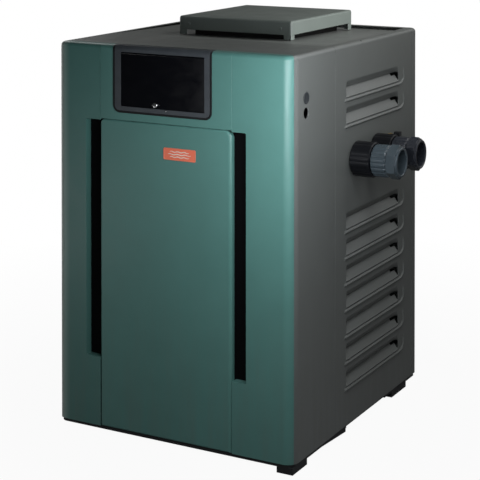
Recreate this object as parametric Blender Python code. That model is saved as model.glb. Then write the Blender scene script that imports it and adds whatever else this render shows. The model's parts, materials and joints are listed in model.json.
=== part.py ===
"""Gas pool heater: a sheet-metal cabinet on a black base, with a finned-tube heat exchanger,
a burner tray and a top vent.

Units are metres, +Z is up, the front of the cabinet faces -Y and the water unions leave the
right side, +X. The model is built about the cabinet's centre line and then moved so that the
origin is the bottom centre of the whole object.
"""

import math
from functools import cache

import bmesh
import bpy
from mathutils import Vector

# ---------------------------------------------------------------- shared dimensions
# Names ending in _X, _Y or _Z that hold two numbers are (low, high) spans along that axis.
HALF_W = 0.325          # half the cabinet's width
HALF_D = 0.365          # half the cabinet's depth
FACE_Y = -HALF_D        # outside of the front panels
PANEL_BOTTOM = 0.022    # lower edge of the sheet panels
TOP = 0.954             # top of the cabinet's rim
SKIN = 0.002            # sheet thickness
GAP = 0.0005            # joint gap between neighbouring parts
FIT = 0.0003            # clearance round a part set into an opening
CLEAR = 0.01            # how far a cutter runs past what it cuts
OUTSIDE = 0.4           # beyond the cabinet sideways, to the front and to the rear
ALL_X = (-OUTSIDE, OUTSIDE)
ABOVE = 1.1             # higher than the whole object
RIGHT_WALL_CUT_X = (0.30, 0.35)
LEFT_WALL_CUT_X = (-0.35, -0.30)

FRONT_SEAM_Y = -0.338   # front panels end here
COWL_SEAM_Y = -0.143    # front cowl meets the rear section
REAR_SEAM_Y = 0.3385    # rear panel starts here

UNION_Z = 0.668         # axis height of the unions and the finned tubes
UNION_YS = {"inlet": -0.028, "outlet": 0.094}
RELIEF_Y, RELIEF_Z = 0.175, 0.655
MANIFOLD_Y, MANIFOLD_Z = -0.2750, 0.1400
MANIFOLD_AXIS = (MANIFOLD_Y, MANIFOLD_Z)

# ---------------------------------------------------------------- materials
# name: (base colour, roughness, metallic = 0, alpha = 1)
MATERIALS = {
    "green_paint": ((0.050, 0.125, 0.108), 0.45),
    "grey_paint": ((0.115, 0.122, 0.118), 0.50),
    "cap_paint": ((0.090, 0.098, 0.090), 0.50),
    "black_base": ((0.010, 0.010, 0.011), 0.55),
    "bezel_plastic": ((0.028, 0.033, 0.036), 0.40),
    "smoked_window": ((0.008, 0.008, 0.010), 0.08, 0.0, 0.85),
    "badge_enamel": ((0.640, 0.120, 0.070), 0.35),
    "chrome": ((0.700, 0.710, 0.720), 0.15, 1.0),
    "union_black": ((0.010, 0.011, 0.013), 0.45),
    "union_grey": ((0.075, 0.095, 0.110), 0.40),
    "fascia_grey": ((0.060, 0.065, 0.070), 0.50),
    "display_glass": ((0.020, 0.045, 0.035), 0.10),
    "button_rubber": ((0.250, 0.260, 0.270), 0.60),
    "board_green": ((0.020, 0.110, 0.050), 0.50),
    "cable_rubber": ((0.015, 0.015, 0.017), 0.60),
    "transformer_steel": ((0.300, 0.290, 0.280), 0.45, 1.0),
    "module_plastic": ((0.450, 0.430, 0.380), 0.50),
    "header_polymer": ((0.020, 0.021, 0.023), 0.50),
    "copper": ((0.720, 0.300, 0.160), 0.35, 1.0),
    "brass": ((0.620, 0.440, 0.160), 0.35, 1.0),
    "spring_steel": ((0.500, 0.500, 0.510), 0.30, 1.0),
    "galvanised": ((0.420, 0.430, 0.430), 0.45, 1.0),
    "refractory": ((0.620, 0.590, 0.530), 0.95),
    "burner_steel": ((0.380, 0.370, 0.360), 0.50, 1.0),
    "black_iron": ((0.035, 0.034, 0.034), 0.60, 0.6),
    "valve_aluminium": ((0.520, 0.530, 0.540), 0.40, 1.0),
    "knob_plastic": ((0.030, 0.060, 0.180), 0.45),
    "lever_black": ((0.010, 0.010, 0.012), 0.45),
}


def new_material(name, colour, roughness, metallic=0.0, alpha=1.0):
    made = bpy.data.materials.new(name)
    made.use_nodes = True
    inputs = made.node_tree.nodes["Principled BSDF"].inputs
    inputs["Base Color"].default_value = (*colour, 1.0)
    inputs["Roughness"].default_value = roughness
    inputs["Metallic"].default_value = metallic
    inputs["Alpha"].default_value = alpha
    made.diffuse_color = (*colour, alpha)
    return made


@cache
def material(name):
    return new_material(name, *MATERIALS[name])


# ---------------------------------------------------------------- spans and outlines
def about(centre, half):
    """The span reaching half to each side of a centre."""
    return (centre - half, centre + half)


def grow(span, by):
    """A span moved outwards by the same amount at both ends."""
    return (span[0] - by, span[1] + by)


def rectangle(us, vs):
    return [(us[0], vs[0]), (us[1], vs[0]), (us[1], vs[1]), (us[0], vs[1])]


def circle(centre, radius, n, turn=0.0):
    angles = [turn + 2 * math.pi * i / n for i in range(n)]
    return [(centre[0] + radius * math.cos(a), centre[1] + radius * math.sin(a)) for a in angles]


def ribbed(centre, radius, dip, ribs):
    """A circle with square ribs; the grooves between them are dip deep."""
    out = []
    for i in range(4 * ribs):
        angle = math.pi * i / ribs / 2
        r = radius if i % 4 < 2 else radius - dip
        out.append((centre[0] + r * math.cos(angle), centre[1] + r * math.sin(angle)))
    return out


def rounded(us, vs, radii, steps):
    """A rectangle with a radius per corner, anticlockwise from the low-u, low-v corner."""
    out = []
    for quarter, ((u, v), r) in enumerate(zip(rectangle(us, vs), radii)):
        centre_u = u + r if u == us[0] else u - r
        centre_v = v + r if v == vs[0] else v - r
        start = (math.pi, 1.5 * math.pi, 0.0, 0.5 * math.pi)[quarter]
        for k in range(steps + 1):
            angle = start + 0.5 * math.pi * k / steps
            out.append((centre_u + r * math.cos(angle), centre_v + r * math.sin(angle)))
    return out


# ---------------------------------------------------------------- solids
def loft(loops):
    """Points and faces of a closed solid through loops with the same number of points."""
    n = len(loops[0])
    points = [tuple(p) for loop in loops for p in loop]
    faces = [tuple(reversed(range(n)))]
    for k in range(len(loops) - 1):
        for i in range(n):
            j = (i + 1) % n
            faces.append((k * n + i, k * n + j, (k + 1) * n + j, (k + 1) * n + i))
    faces.append(tuple(range((len(loops) - 1) * n, len(loops) * n)))
    return points, faces


def place(axis, outline, along):
    """An outline set across an axis: (u, v) is (y, z) on x, (z, x) on y and (x, y) on z."""
    if axis == "x":
        return [(along, u, v) for u, v in outline]
    if axis == "y":
        return [(v, along, u) for u, v in outline]
    return [(u, v, along) for u, v in outline]


def prism(axis, outline, span):
    """An outline swept along a span of the axis; the span's ends may come in either order."""
    return loft([place(axis, outline, along) for along in sorted(span)])


def box(xs, ys, zs):
    """A box from three spans; the ends of each may come in either order."""
    return prism("z", rectangle(sorted(xs), sorted(ys)), zs)


def cylinder(axis, centre, radius, span, n=20, turn=0.0):
    return prism(axis, circle(centre, radius, n, turn), span)


def stepped(axis, centre, stations, n=20, turn=0.0, start=0.0):
    """A solid of revolution from (position, radius) stations measured from start."""
    return loft([place(axis, circle(centre, r, n, turn), start + a) for a, r in stations])


def round_bar(path, radius, n):
    """A round bar along a path of points."""
    path = [Vector(p) for p in path]
    loops = []
    side = None
    for i, p in enumerate(path):
        ahead = (path[min(i + 1, len(path) - 1)] - path[max(i - 1, 0)]).normalized()
        if side is None:
            side = ahead.cross(Vector((0.3, 0.2, 1.0))).normalized()
        side = (side - ahead * side.dot(ahead)).normalized()
        other = ahead.cross(side)
        turns = [2 * math.pi * k / n for k in range(n)]
        loops.append(
            [p + side * radius * math.cos(t) + other * radius * math.sin(t) for t in turns]
        )
    return loft(loops)


def spline(path, per):
    """A Catmull-Rom curve through a path, with per points for each stretch."""
    ends = [Vector(p) for p in (path[0], *path, path[-1])]
    out = []
    for a, b, c, d in zip(ends, ends[1:], ends[2:], ends[3:]):
        for k in range(per):
            t = k / per
            square = (2 * a - 5 * b + 4 * c - d) * t * t
            cube = (3 * b - a - 3 * c + d) * t ** 3
            out.append(0.5 * (2 * b + (c - a) * t + square + cube))
    out.append(ends[-1])
    return out


# ---------------------------------------------------------------- objects
WELD = 1e-6             # points closer than this are merged
SHARP_ANGLE = math.radians(32)


def new_object(name, solid):
    points, faces = solid
    mesh = bpy.data.meshes.new(name)
    mesh.from_pydata(points, [], faces)
    work = bmesh.new()
    work.from_mesh(mesh)
    bmesh.ops.remove_doubles(work, verts=work.verts, dist=WELD)
    bmesh.ops.recalc_face_normals(work, faces=work.faces)
    work.to_mesh(mesh)
    work.free()
    obj = bpy.data.objects.new(name, mesh)
    bpy.context.scene.collection.objects.link(obj)
    return obj


def combine(obj, solids, operation):
    """Apply one boolean per solid, in order."""
    for solid in solids:
        other = new_object("tool", solid)
        change = obj.modifiers.new("change", "BOOLEAN")
        change.operation = operation
        change.solver = "EXACT"
        change.object = other
        bpy.context.view_layer.update()
        graph = bpy.context.evaluated_depsgraph_get()
        mesh = bpy.data.meshes.new_from_object(obj.evaluated_get(graph))
        obj.modifiers.clear()
        old, tool = obj.data, other.data
        obj.data = mesh
        bpy.data.objects.remove(other)
        bpy.data.meshes.remove(old)
        bpy.data.meshes.remove(tool)


def cut(obj, *solids):
    combine(obj, solids, "DIFFERENCE")


def add(obj, *solids):
    combine(obj, solids, "UNION")


def finish(obj, kind, pivot=None):
    """Name the mesh, paint and shade it, and move the object's origin to the pivot."""
    mesh = obj.data
    mesh.name = obj.name
    mesh.materials.clear()
    mesh.materials.append(material(kind))
    for polygon in mesh.polygons:
        polygon.use_smooth = True
    mesh.set_sharp_from_angle(angle=SHARP_ANGLE)
    if pivot is not None:
        pivot = Vector(pivot)
        for vertex in mesh.vertices:
            vertex.co -= pivot
        obj.location = pivot


def part(name, solid, kind, adds=(), cuts=(), pivot=None):
    """A finished object: a solid, with others joined to it and then others cut away."""
    obj = new_object(name, solid)
    add(obj, *adds)
    cut(obj, *cuts)
    finish(obj, kind, pivot)


# ---------------------------------------------------------------- cabinet skin
R_FRONT = 0.020         # front vertical corners
R_REAR = 0.004          # rear vertical corners
R_TOP = 0.011           # rounding of the top edge
R_LEAST = 0.0015        # smallest corner left after an inward offset
TOP_STEPS, CORNER_STEPS = 4, 5


def cabinet_solid(off, bottom):
    """The cabinet's outside moved outwards by off, from the bottom height up."""
    levels = [(bottom, 0.0), (TOP - R_TOP, 0.0)]
    edge = R_TOP + off
    for k in range(1, TOP_STEPS + 1):
        angle = 0.5 * math.pi * k / TOP_STEPS
        levels.append((TOP - R_TOP + edge * math.sin(angle), edge * (1 - math.cos(angle))))
    loops = []
    for z, inset in levels:
        shift = off - inset
        radii = [max(r + shift, R_LEAST) for r in (R_FRONT, R_FRONT, R_REAR, R_REAR)]
        xs, ys = about(0, HALF_W + shift), about(0, HALF_D + shift)
        loops.append(place("z", rounded(xs, ys, radii, CORNER_STEPS), z))
    return loft(loops)


def shell_piece(name, region, off=0.0, skin=SKIN):
    """The part of the cabinet's skin inside a region."""
    obj = new_object(name, cabinet_solid(off, PANEL_BOTTOM))
    cut(obj, cabinet_solid(off - skin, PANEL_BOTTOM - CLEAR))
    combine(obj, [region], "INTERSECT")
    return obj


# ---------------------------------------------------------------- front
DOOR_X = (-0.2003, 0.1650)
DOOR_Z = (PANEL_BOTTOM, 0.7730)
DOOR_DEPTH = 0.014      # return of the door's edges
SLOT_Z = (0.190, 0.770)
SLOT_DEPTH = 0.021      # return of the slots' edges
SLOT_OVERRUN = 0.02     # slot cutter past the panel's edge
RETURN_Y = (FACE_Y + 0.0004, FACE_Y + SLOT_DEPTH)
# name, side, panel edge beside the door, slot width
WINGS = (
    ("left_wing_panel", -1, DOOR_X[0], 0.0415),
    ("right_wing_panel", 1, DOOR_X[1], 0.0380),
)
BADGE_X, BADGE_Z = (-0.0190, 0.0690), (0.6900, 0.7185)

BEZEL_X, BEZEL_Z0 = (-0.1610, 0.1130), 0.7920
BEZEL_Y = (-OUTSIDE, -0.345)


def wing_panels():
    """Panels beside the door, each with a returned-edge slot open towards the door."""
    for name, side, edge, width in WINGS:
        near, far = edge + side * GAP, edge + side * width
        back = far + side * SKIN
        region = box((near, side * OUTSIDE), (-OUTSIDE, FRONT_SEAM_Y), (0.0, ABOVE))
        obj = shell_piece(name, region)
        add(
            obj,
            box((far, back), RETURN_Y, grow(SLOT_Z, SKIN)),
            box((near, back), RETURN_Y, (SLOT_Z[0] - SKIN, SLOT_Z[0])),
            box((near, back), RETURN_Y, (SLOT_Z[1], SLOT_Z[1] + SKIN)),
        )
        slot_y = (-OUTSIDE, FACE_Y + SLOT_DEPTH + CLEAR)
        cut(obj, box((edge - side * SLOT_OVERRUN, far), slot_y, SLOT_Z))
        finish(obj, "green_paint")


def front_header_panel():
    region = box(DOOR_X, (-OUTSIDE, FRONT_SEAM_Y), (DOOR_Z[1] + GAP, ABOVE))
    obj = shell_piece("front_header_panel", region)
    cut(obj, box(grow(BEZEL_X, -0.0100), BEZEL_Y, (BEZEL_Z0 + 0.0075, 0.9425)))
    finish(obj, "green_paint")


def access_door():
    """A pan: a flat face with edges turned back and rounded top corners."""
    xs = grow(DOOR_X, -FIT)
    outer = rounded(DOOR_Z, xs, (0.001, 0.012, 0.016, 0.001), 4)
    inner = rounded(grow(DOOR_Z, -SKIN), grow(xs, -SKIN), (0.001, 0.010, 0.014, 0.001), 4)
    hollow = prism("y", inner, (FACE_Y + SKIN, FACE_Y + DOOR_DEPTH + CLEAR))
    part(
        "access_door",
        prism("y", outer, (FACE_Y, FACE_Y + DOOR_DEPTH)),
        "green_paint",
        cuts=[hollow],
    )


def badge_plate():
    outline = rounded(BADGE_Z, BADGE_X, (0.003,) * 4, 3)
    part("badge_plate", prism("y", outline, (FACE_Y - 0.0020, FACE_Y - 0.0003)), "badge_enamel")


# ---------------------------------------------------------------- controls
BEZEL_LIFT = 0.003      # how far the bezel stands off the cabinet's face
COVER_X, COVER_Z = (-0.1380, 0.0935), (0.8080, 0.9380)
COVER_Y = (-0.3675, -0.3645)
HINGE = (-0.3655, 0.9350)       # (y, z)
HINGE_R, HINGE_BORE_R, HINGE_SOCKET_R, PIN_R = 0.0023, 0.00115, 0.00130, 0.0010
LATCH_X, LATCH_Z = -0.0400, 0.8170
LATCH = (LATCH_Z, LATCH_X)
LATCH_SEAT_Y = -0.3680
FASCIA_Y = -0.3520
DISPLAY_X, DISPLAY_Z = (-0.0800, 0.0100), (0.8700, 0.9100)
BUTTON_Z = 0.8450
BUTTON_XS = {"mode_button": -0.075, "temp_up_button": 0.010, "temp_down_button": 0.045}
BUTTON_HOLE_R = 0.0064
# (y from the fascia, radius)
BUTTON_STATIONS = (
    (-0.0032, 0.0050), (-0.0025, 0.0060), (0.0032, 0.0060), (0.0032, 0.0074), (0.0045, 0.0074),
)


def control_bezel():
    """A plate over the front and top edge, with a frame behind its window opening."""
    outline = rounded((BEZEL_Z0, 1.02), BEZEL_X, (0.018, 0.002, 0.002, 0.018), 4)
    region = prism("y", outline, BEZEL_Y)
    obj = shell_piece("control_bezel", region, off=BEZEL_LIFT, skin=BEZEL_LIFT - 0.0004)
    frame_y = (FACE_Y - BEZEL_LIFT + 0.0005, -0.3350)
    frame_z = (COVER_Z[0] - 0.0055, COVER_Z[1] + 0.0040)
    add(obj, box(grow(COVER_X, 0.0060), frame_y, frame_z))
    window = rounded(grow(COVER_Z, GAP), grow(COVER_X, GAP), (0.002,) * 4, 2)
    cam_pocket_z = (COVER_Z[0] - 0.0045, COVER_Z[0] + 0.001)
    cut(
        obj,
        prism("y", window, (-0.39, -0.30)),
        cylinder("x", HINGE, HINGE_SOCKET_R, grow(COVER_X, 0.0045), 12),
        box(about(LATCH_X, 0.011), (-0.3648, -0.3560), cam_pocket_z),
    )
    finish(obj, "bezel_plastic")


def control_cover():
    """The smoked window, hinged along its top edge, and its pin."""
    part("cover_hinge_pin", cylinder("x", HINGE, PIN_R, grow(COVER_X, 0.0042), 12), "chrome")
    outline = rounded((COVER_Z[0], HINGE[1]), COVER_X, (0.001,) * 4, 2)
    part(
        "control_cover",
        prism("y", outline, COVER_Y),
        "smoked_window",
        adds=[cylinder("x", HINGE, HINGE_R, COVER_X, 16)],
        cuts=[
            cylinder("x", HINGE, HINGE_BORE_R, grow(COVER_X, CLEAR), 12),
            cylinder("y", LATCH, 0.0024, (-0.38, -0.35), 16),
        ],
        pivot=(0.5 * (COVER_X[0] + COVER_X[1]), *HINGE),
    )


def cover_latch():
    """Quarter-turn latch: a knob with a grip, a shaft through the window and a cam behind it."""
    knob = [(-0.3720, 0.0052), (-0.3710, 0.0062), (LATCH_SEAT_Y, 0.0062)]
    grip = box(about(LATCH_X, 0.0050), (-0.3760, -0.3705), about(LATCH_Z, 0.0012))
    shaft = cylinder("y", LATCH, 0.0021, (-0.3690, -0.3620), 12)
    cam_x = (LATCH_X - 0.0032, LATCH_X + 0.0125)
    cam = box(cam_x, (-0.3641, -0.3615), about(LATCH_Z, 0.0032))
    part(
        "cover_latch",
        stepped("y", LATCH, knob),
        "chrome",
        adds=[grip, shaft, cam],
        pivot=(LATCH_X, LATCH_SEAT_Y, LATCH_Z),
    )


def control_fascia():
    """The panel behind the window, with its display and buttons."""
    through = about(FASCIA_Y, CLEAR)
    holes = [cylinder("y", (BUTTON_Z, x), BUTTON_HOLE_R, through) for x in BUTTON_XS.values()]
    holes.append(box(grow(DISPLAY_X, FIT), through, grow(DISPLAY_Z, FIT)))
    panel = box(grow(COVER_X, -FIT), (FASCIA_Y, FASCIA_Y + 0.003), grow(COVER_Z, -FIT))
    part("control_fascia", panel, "fascia_grey", cuts=holes)
    lens = box(DISPLAY_X, (FASCIA_Y - 0.0010, FASCIA_Y + 0.0030), DISPLAY_Z)
    part("display_lens", lens, "display_glass")
    for name, x in BUTTON_XS.items():
        button = stepped("y", (BUTTON_Z, x), BUTTON_STATIONS, start=FASCIA_Y)
        part(name, button, "button_rubber", pivot=(x, FASCIA_Y, BUTTON_Z))


def control_board():
    base_y = -0.3425    # the components start just inside the board
    part(
        "control_board",
        box((-0.128, 0.084), (-0.3440, -0.3424), (0.813, 0.931)),
        "board_green",
        adds=[
            box((-0.110, -0.085), (base_y, -0.3370), (0.880, 0.915)),
            box((0.030, 0.065), (base_y, -0.3390), (0.870, 0.900)),
            cylinder("y", (0.850, -0.030), 0.006, (base_y, -0.3370), 12),
        ],
    )


# ---------------------------------------------------------------- cowl, sides and rear
KNOCKOUT_Y, KNOCKOUT_ZS, KNOCKOUT_R = -0.3008, (0.852, 0.817), 0.0128
GAS_HOLE_R, UNION_HOLE_R, RELIEF_HOLE_R = 0.0160, 0.0300, 0.0165
SIDE_INNER_X = 0.3045           # the side panels' top flanges reach in to here
DECK_HALF_W = 0.3040
LOUVER_Y = (-0.088, 0.270)
LOUVER_PITCH = 0.0641
LOUVER_TOP_LIP = 0.816          # lower edge of the top opening
LOUVER_H = 0.036
LOUVER_IN = 0.016               # how far a blade leans inwards
LOUVER_T = 0.0016               # blade thickness
LOUVER_CHEEK = 0.002            # thickness of a blade's end cheeks
LOUVER_ROWS = (0, 1, 5, 6, 7, 8, 9, 10, 11)     # rows 2 to 4 are left plain


def front_cowl():
    region = box(ALL_X, (FRONT_SEAM_Y + GAP, COWL_SEAM_Y - 0.5 * GAP), (0.0, ABOVE))
    obj = shell_piece("front_cowl", region)
    for z in KNOCKOUT_ZS:
        cut(obj, cylinder("x", (KNOCKOUT_Y, z), KNOCKOUT_R, RIGHT_WALL_CUT_X, 24))
    cut(obj, cylinder("x", MANIFOLD_AXIS, GAS_HOLE_R, LEFT_WALL_CUT_X, 24))
    finish(obj, "grey_paint")


def knockout_plug():
    """A flanged plug in the upper knockout hole."""
    stations = [(0.3200, 0.0108), (0.3254, 0.0124), (0.3254, 0.0142), (0.3268, 0.0138)]
    plug = stepped("x", (KNOCKOUT_Y, KNOCKOUT_ZS[0]), stations, 24)
    part("knockout_plug", plug, "bezel_plastic")


def louvers(obj, side):
    """Openings in a side panel, each with a blade that slopes inwards as it rises."""

    def across(profile, ys):
        """Sweep (depth, z) points along y; depth runs inwards from the panel's outside."""
        return prism("y", [(z, side * HALF_W - side * depth) for depth, z in profile], ys)

    y0, y1 = LOUVER_Y
    tip = LOUVER_IN + LOUVER_T
    for row in LOUVER_ROWS:
        z0 = LOUVER_TOP_LIP - LOUVER_PITCH * row
        z1 = z0 + LOUVER_H
        opening = [(-CLEAR, z0), (CLEAR, z0), (CLEAR, z1), (-CLEAR, z1)]
        blade = [
            (0.0, z0 - 0.004), (0.0, z0 + 0.0005), (LOUVER_IN, z1 - 0.001),
            (tip, z1 - 0.001), (SKIN - 0.0003, z0 - 0.004),
        ]
        cheek = [(0.0006, z0 - 0.001), (0.0006, z1 - 0.002), (tip, z1 - 0.001), (SKIN, z0 - 0.001)]
        cut(obj, across(opening, LOUVER_Y))
        add(
            obj,
            across(blade, grow(LOUVER_Y, LOUVER_CHEEK)),
            across(cheek, (y0 - LOUVER_CHEEK, y0 + 0.0002)),
            across(cheek, (y1 - 0.0002, y1 + LOUVER_CHEEK)),
        )


def side_panels():
    for name, side in (("right_side_panel", 1), ("left_side_panel", -1)):
        xs = (side * SIDE_INNER_X, side * OUTSIDE)
        ys = (COWL_SEAM_Y + 0.5 * GAP, REAR_SEAM_Y - GAP)
        obj = shell_piece(name, box(xs, ys, (0.0, ABOVE)))
        louvers(obj, side)
        if side > 0:
            for y in UNION_YS.values():
                cut(obj, cylinder("x", (y, UNION_Z), UNION_HOLE_R, RIGHT_WALL_CUT_X, 24))
            cut(
                obj,
                cylinder("x", (RELIEF_Y, RELIEF_Z), RELIEF_HOLE_R, RIGHT_WALL_CUT_X),
                # a small notch in the top edge
                box((0.318, 0.34), (0.013, 0.019), (TOP - 0.0035, TOP + CLEAR)),
            )
        finish(obj, "grey_paint")


def rear_panel():
    obj = shell_piece("rear_panel", box(ALL_X, (REAR_SEAM_Y, OUTSIDE), (0.0, ABOVE)))
    finish(obj, "grey_paint")


# ---------------------------------------------------------------- deck and vent
CAP_X, CAP_Y = (-0.151, 0.173), (-0.075, 0.285)
CAP_TOP, CAP_SKIRT = 1.004, 0.9665
CAP_WALL = 0.0025
COLLAR_INSET = 0.030            # collar inside the cap's edge
COLLAR_X, COLLAR_Y = grow(CAP_X, -COLLAR_INSET), grow(CAP_Y, -COLLAR_INSET)
DECK_HOLE_INSET = 0.0290
# (z, inset from the cap's edge)
CAP_LEVELS = (
    (CAP_SKIRT, 0.0), (CAP_TOP - 0.0075, 0.0), (CAP_TOP - 0.0045, 0.0012),
    (CAP_TOP - 0.0030, 0.0045), (CAP_TOP, 0.060),
)


def rear_deck():
    """The deck falls gently towards the back between the side flanges."""
    front, back = (COWL_SEAM_Y + GAP, TOP - 0.0008), (REAR_SEAM_Y - GAP, TOP - 0.0085)
    section = [(front[0], front[1] - SKIN), (back[0], back[1] - SKIN), back, front]
    hole_x, hole_y = grow(CAP_X, -DECK_HOLE_INSET), grow(CAP_Y, -DECK_HOLE_INSET)
    part(
        "rear_deck",
        prism("x", section, about(0, DECK_HALF_W)),
        "grey_paint",
        cuts=[box(hole_x, hole_y, (0.90, 1.0))],
    )


def vent_collar():
    part(
        "vent_collar",
        box(COLLAR_X, COLLAR_Y, (0.9060, 0.9880)),
        "black_iron",
        cuts=[box(grow(COLLAR_X, -SKIN), grow(COLLAR_Y, -SKIN), (0.89, 1.01))],
    )


def vent_cap():
    """A hollow cap with a low pyramid top, on four legs that follow the deck's slope."""
    loops = []
    for z, inset in CAP_LEVELS:
        outline = rounded(grow(CAP_X, -inset), grow(CAP_Y, -inset), (0.005,) * 4, 3)
        loops.append(place("z", outline, z))
    obj = new_object("vent_cap", loft(loops))
    hollow_x, hollow_y = grow(CAP_X, -CAP_WALL), grow(CAP_Y, -CAP_WALL)
    cut(obj, box(hollow_x, hollow_y, (0.90, CAP_TOP - 0.0090)))
    for y, inward_y, foot in ((CAP_Y[0], 1, 0.9535), (CAP_Y[1], -1, 0.9482)):
        for x, inward_x in ((CAP_X[1], -1), (CAP_X[0], 1)):
            leg_x = (x + inward_x * 0.0012, x + inward_x * 0.0220)
            leg_y = (y + inward_y * 0.0012, y + inward_y * 0.0040)
            add(obj, box(leg_x, leg_y, (foot, CAP_TOP - 0.0060)))
    finish(obj, "cap_paint")


# ---------------------------------------------------------------- base
BASE_INSET = 0.0035             # base edge inside the cabinet's outside
BASE_HALF_W, BASE_HALF_D = HALF_W - BASE_INSET, HALF_D - BASE_INSET
FOOT_INNER_X = 0.2805
FRONT_FOOT_Y, REAR_FOOT_Y = (-BASE_HALF_D, -0.2870), (0.2125, 0.3080)
LEFT_FOOT_SETBACK = 0.0420
# side rail section: (y, z)
RAIL = ((-0.2100, 0.0141), (-0.0740, 0.0055), (-0.0740, 0.0180), (-0.2100, 0.0180))


def base_pan():
    """A plate with four feet, side rails that thicken towards the middle, and side notches."""
    extras, notches = [], []
    for side in (-1, 1):
        foot_x = (side * FOOT_INNER_X, side * BASE_HALF_W)
        setback = LEFT_FOOT_SETBACK if side < 0 else 0.0
        front_y = (FRONT_FOOT_Y[0] + setback, FRONT_FOOT_Y[1] + setback)
        extras += [box(foot_x, ys, (0.0, 0.0160)) for ys in (front_y, REAR_FOOT_Y)]
        extras.append(prism("x", RAIL, (side * 0.2905, side * BASE_HALF_W)))
        notches.append(box((side * 0.2950, side * 0.3300), (-0.0705, 0.1660), (0.0, 0.0180)))
    corners = (0.017, 0.017, 0.002, 0.002)
    plate = rounded(about(0, BASE_HALF_W), about(0, BASE_HALF_D), corners, 4)
    part(
        "base_pan",
        prism("z", plate, (0.0140, PANEL_BOTTOM - GAP)),
        "black_base",
        adds=extras,
        cuts=notches,
    )


# ---------------------------------------------------------------- heat exchanger
HEADER_X, HEADER_Z = (0.2320, 0.2900), (0.6280, 0.7080)
HEADER_MID_X = 0.2610
HEADER_AXIS = (UNION_Z, HEADER_MID_X)
HEADER_HALF_L = 0.2000
HEADER_WALL = 0.0055
HEADER_R = 0.008                # outer edges
DIVIDER_Y, DIVIDER_HALF_T = 0.0330, 0.003
TUBE_PITCH, TUBE_COUNT = 0.076, 5
TUBE_YS = [TUBE_PITCH * (k - 2) for k in range(TUBE_COUNT)]
TUBE_R, TUBE_BORE_R, TUBE_HOLE_R = 0.0110, 0.0094, 0.0114
TUBE_HALF_L = 0.2410
FINS, FIN_W, FIN_R = 7, 0.0400, 0.0330
FIN_SPAN = 0.4120               # length shared by the fins
FITTING_X = HEADER_X[1] + 0.0003        # fittings start just outside the header


def header_body(side):
    xs = sorted(side * x for x in HEADER_X)
    outline = rounded(HEADER_Z, xs, (HEADER_R,) * 4, 2)
    return prism("y", outline, about(0, HEADER_HALF_L))


def header_chamber(side, ys):
    xs = (side * (HEADER_X[0] + HEADER_WALL), side * (HEADER_X[1] - HEADER_WALL))
    return box(xs, ys, grow(HEADER_Z, -HEADER_WALL))


def header_tube_holes(side):
    xs = (side * 0.20, side * (HEADER_X[0] + 0.010))
    return [cylinder("x", (y, UNION_Z), TUBE_HOLE_R, xs, 16) for y in TUBE_YS]


def headers():
    """A divided header on the right and a single-chamber one on the left."""
    inner = HEADER_HALF_L - HEADER_WALL
    port_x = (HEADER_X[1] - 0.012, HEADER_X[1] + CLEAR)
    cuts = [
        header_chamber(1, (-inner, DIVIDER_Y - DIVIDER_HALF_T)),
        header_chamber(1, (DIVIDER_Y + DIVIDER_HALF_T, inner)),
        *[cylinder("x", (y, UNION_Z), 0.0200, port_x, 24) for y in UNION_YS.values()],
        # bypass seat in the divider, then the drain hole in the front end
        cylinder("y", HEADER_AXIS, 0.0120, about(DIVIDER_Y, CLEAR)),
        cylinder("y", HEADER_AXIS, 0.0099, (-HEADER_HALF_L - CLEAR, -HEADER_HALF_L + 0.02), 16),
        *header_tube_holes(1),
    ]
    part("inlet_outlet_header", header_body(1), "header_polymer", cuts=cuts)
    cuts = [header_chamber(-1, (-inner, inner)), *header_tube_holes(-1)]
    part("return_header", header_body(-1), "header_polymer", cuts=cuts)


def bypass():
    """A disc held on its seat in the divider, on a stem with a spring."""
    seat_y = 0.0362
    stations = [
        (0.0248, 0.0105), (seat_y, 0.0105), (seat_y, 0.0165),
        (0.0392, 0.0165), (0.0392, 0.0035), (0.0640, 0.0035),
    ]
    valve = stepped("y", HEADER_AXIS, stations)
    part("bypass_valve", valve, "brass", pivot=(HEADER_MID_X, seat_y, UNION_Z))

    turns, per_turn = 5, 12
    coil_r, coil_y, coil_length, wire_r = 0.0095, 0.0408, 0.0220, 0.0011
    coil = []
    for i in range(turns * per_turn + 1):
        angle = 2 * math.pi * i / per_turn
        y = coil_y + coil_length * i / (turns * per_turn)
        x, z = HEADER_MID_X + coil_r * math.cos(angle), UNION_Z + coil_r * math.sin(angle)
        coil.append((x, y, z))
    part("bypass_spring", round_bar(coil, wire_r, 6), "spring_steel")


def drain_plug():
    """A hexagonal plug in the front end of the right header."""
    stations = [
        (-0.2150, 0.0110), (-0.2140, 0.0120), (-0.2003, 0.0120),
        (-0.2003, 0.0096), (-0.1900, 0.0096),
    ]
    part("drain_plug", stepped("y", HEADER_AXIS, stations, 6, math.pi / 6), "brass")


def finned_tubes():
    stations = [(-TUBE_HALF_L, TUBE_R)]
    for i in range(FINS):
        middle = -0.5 * FIN_SPAN + FIN_SPAN * (i + 0.5) / FINS
        x0, x1 = about(middle, 0.5 * FIN_W)
        stations += [(x0, TUBE_R), (x0, FIN_R), (x1, FIN_R), (x1, TUBE_R)]
    stations.append((TUBE_HALF_L, TUBE_R))
    for k, y in enumerate(TUBE_YS):
        centre = (y, UNION_Z)
        bore = cylinder("x", centre, TUBE_BORE_R, (-0.26, 0.26), 12)
        part(f"finned_tube_{k + 1}", stepped("x", centre, stations, 12), "copper", cuts=[bore])


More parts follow.
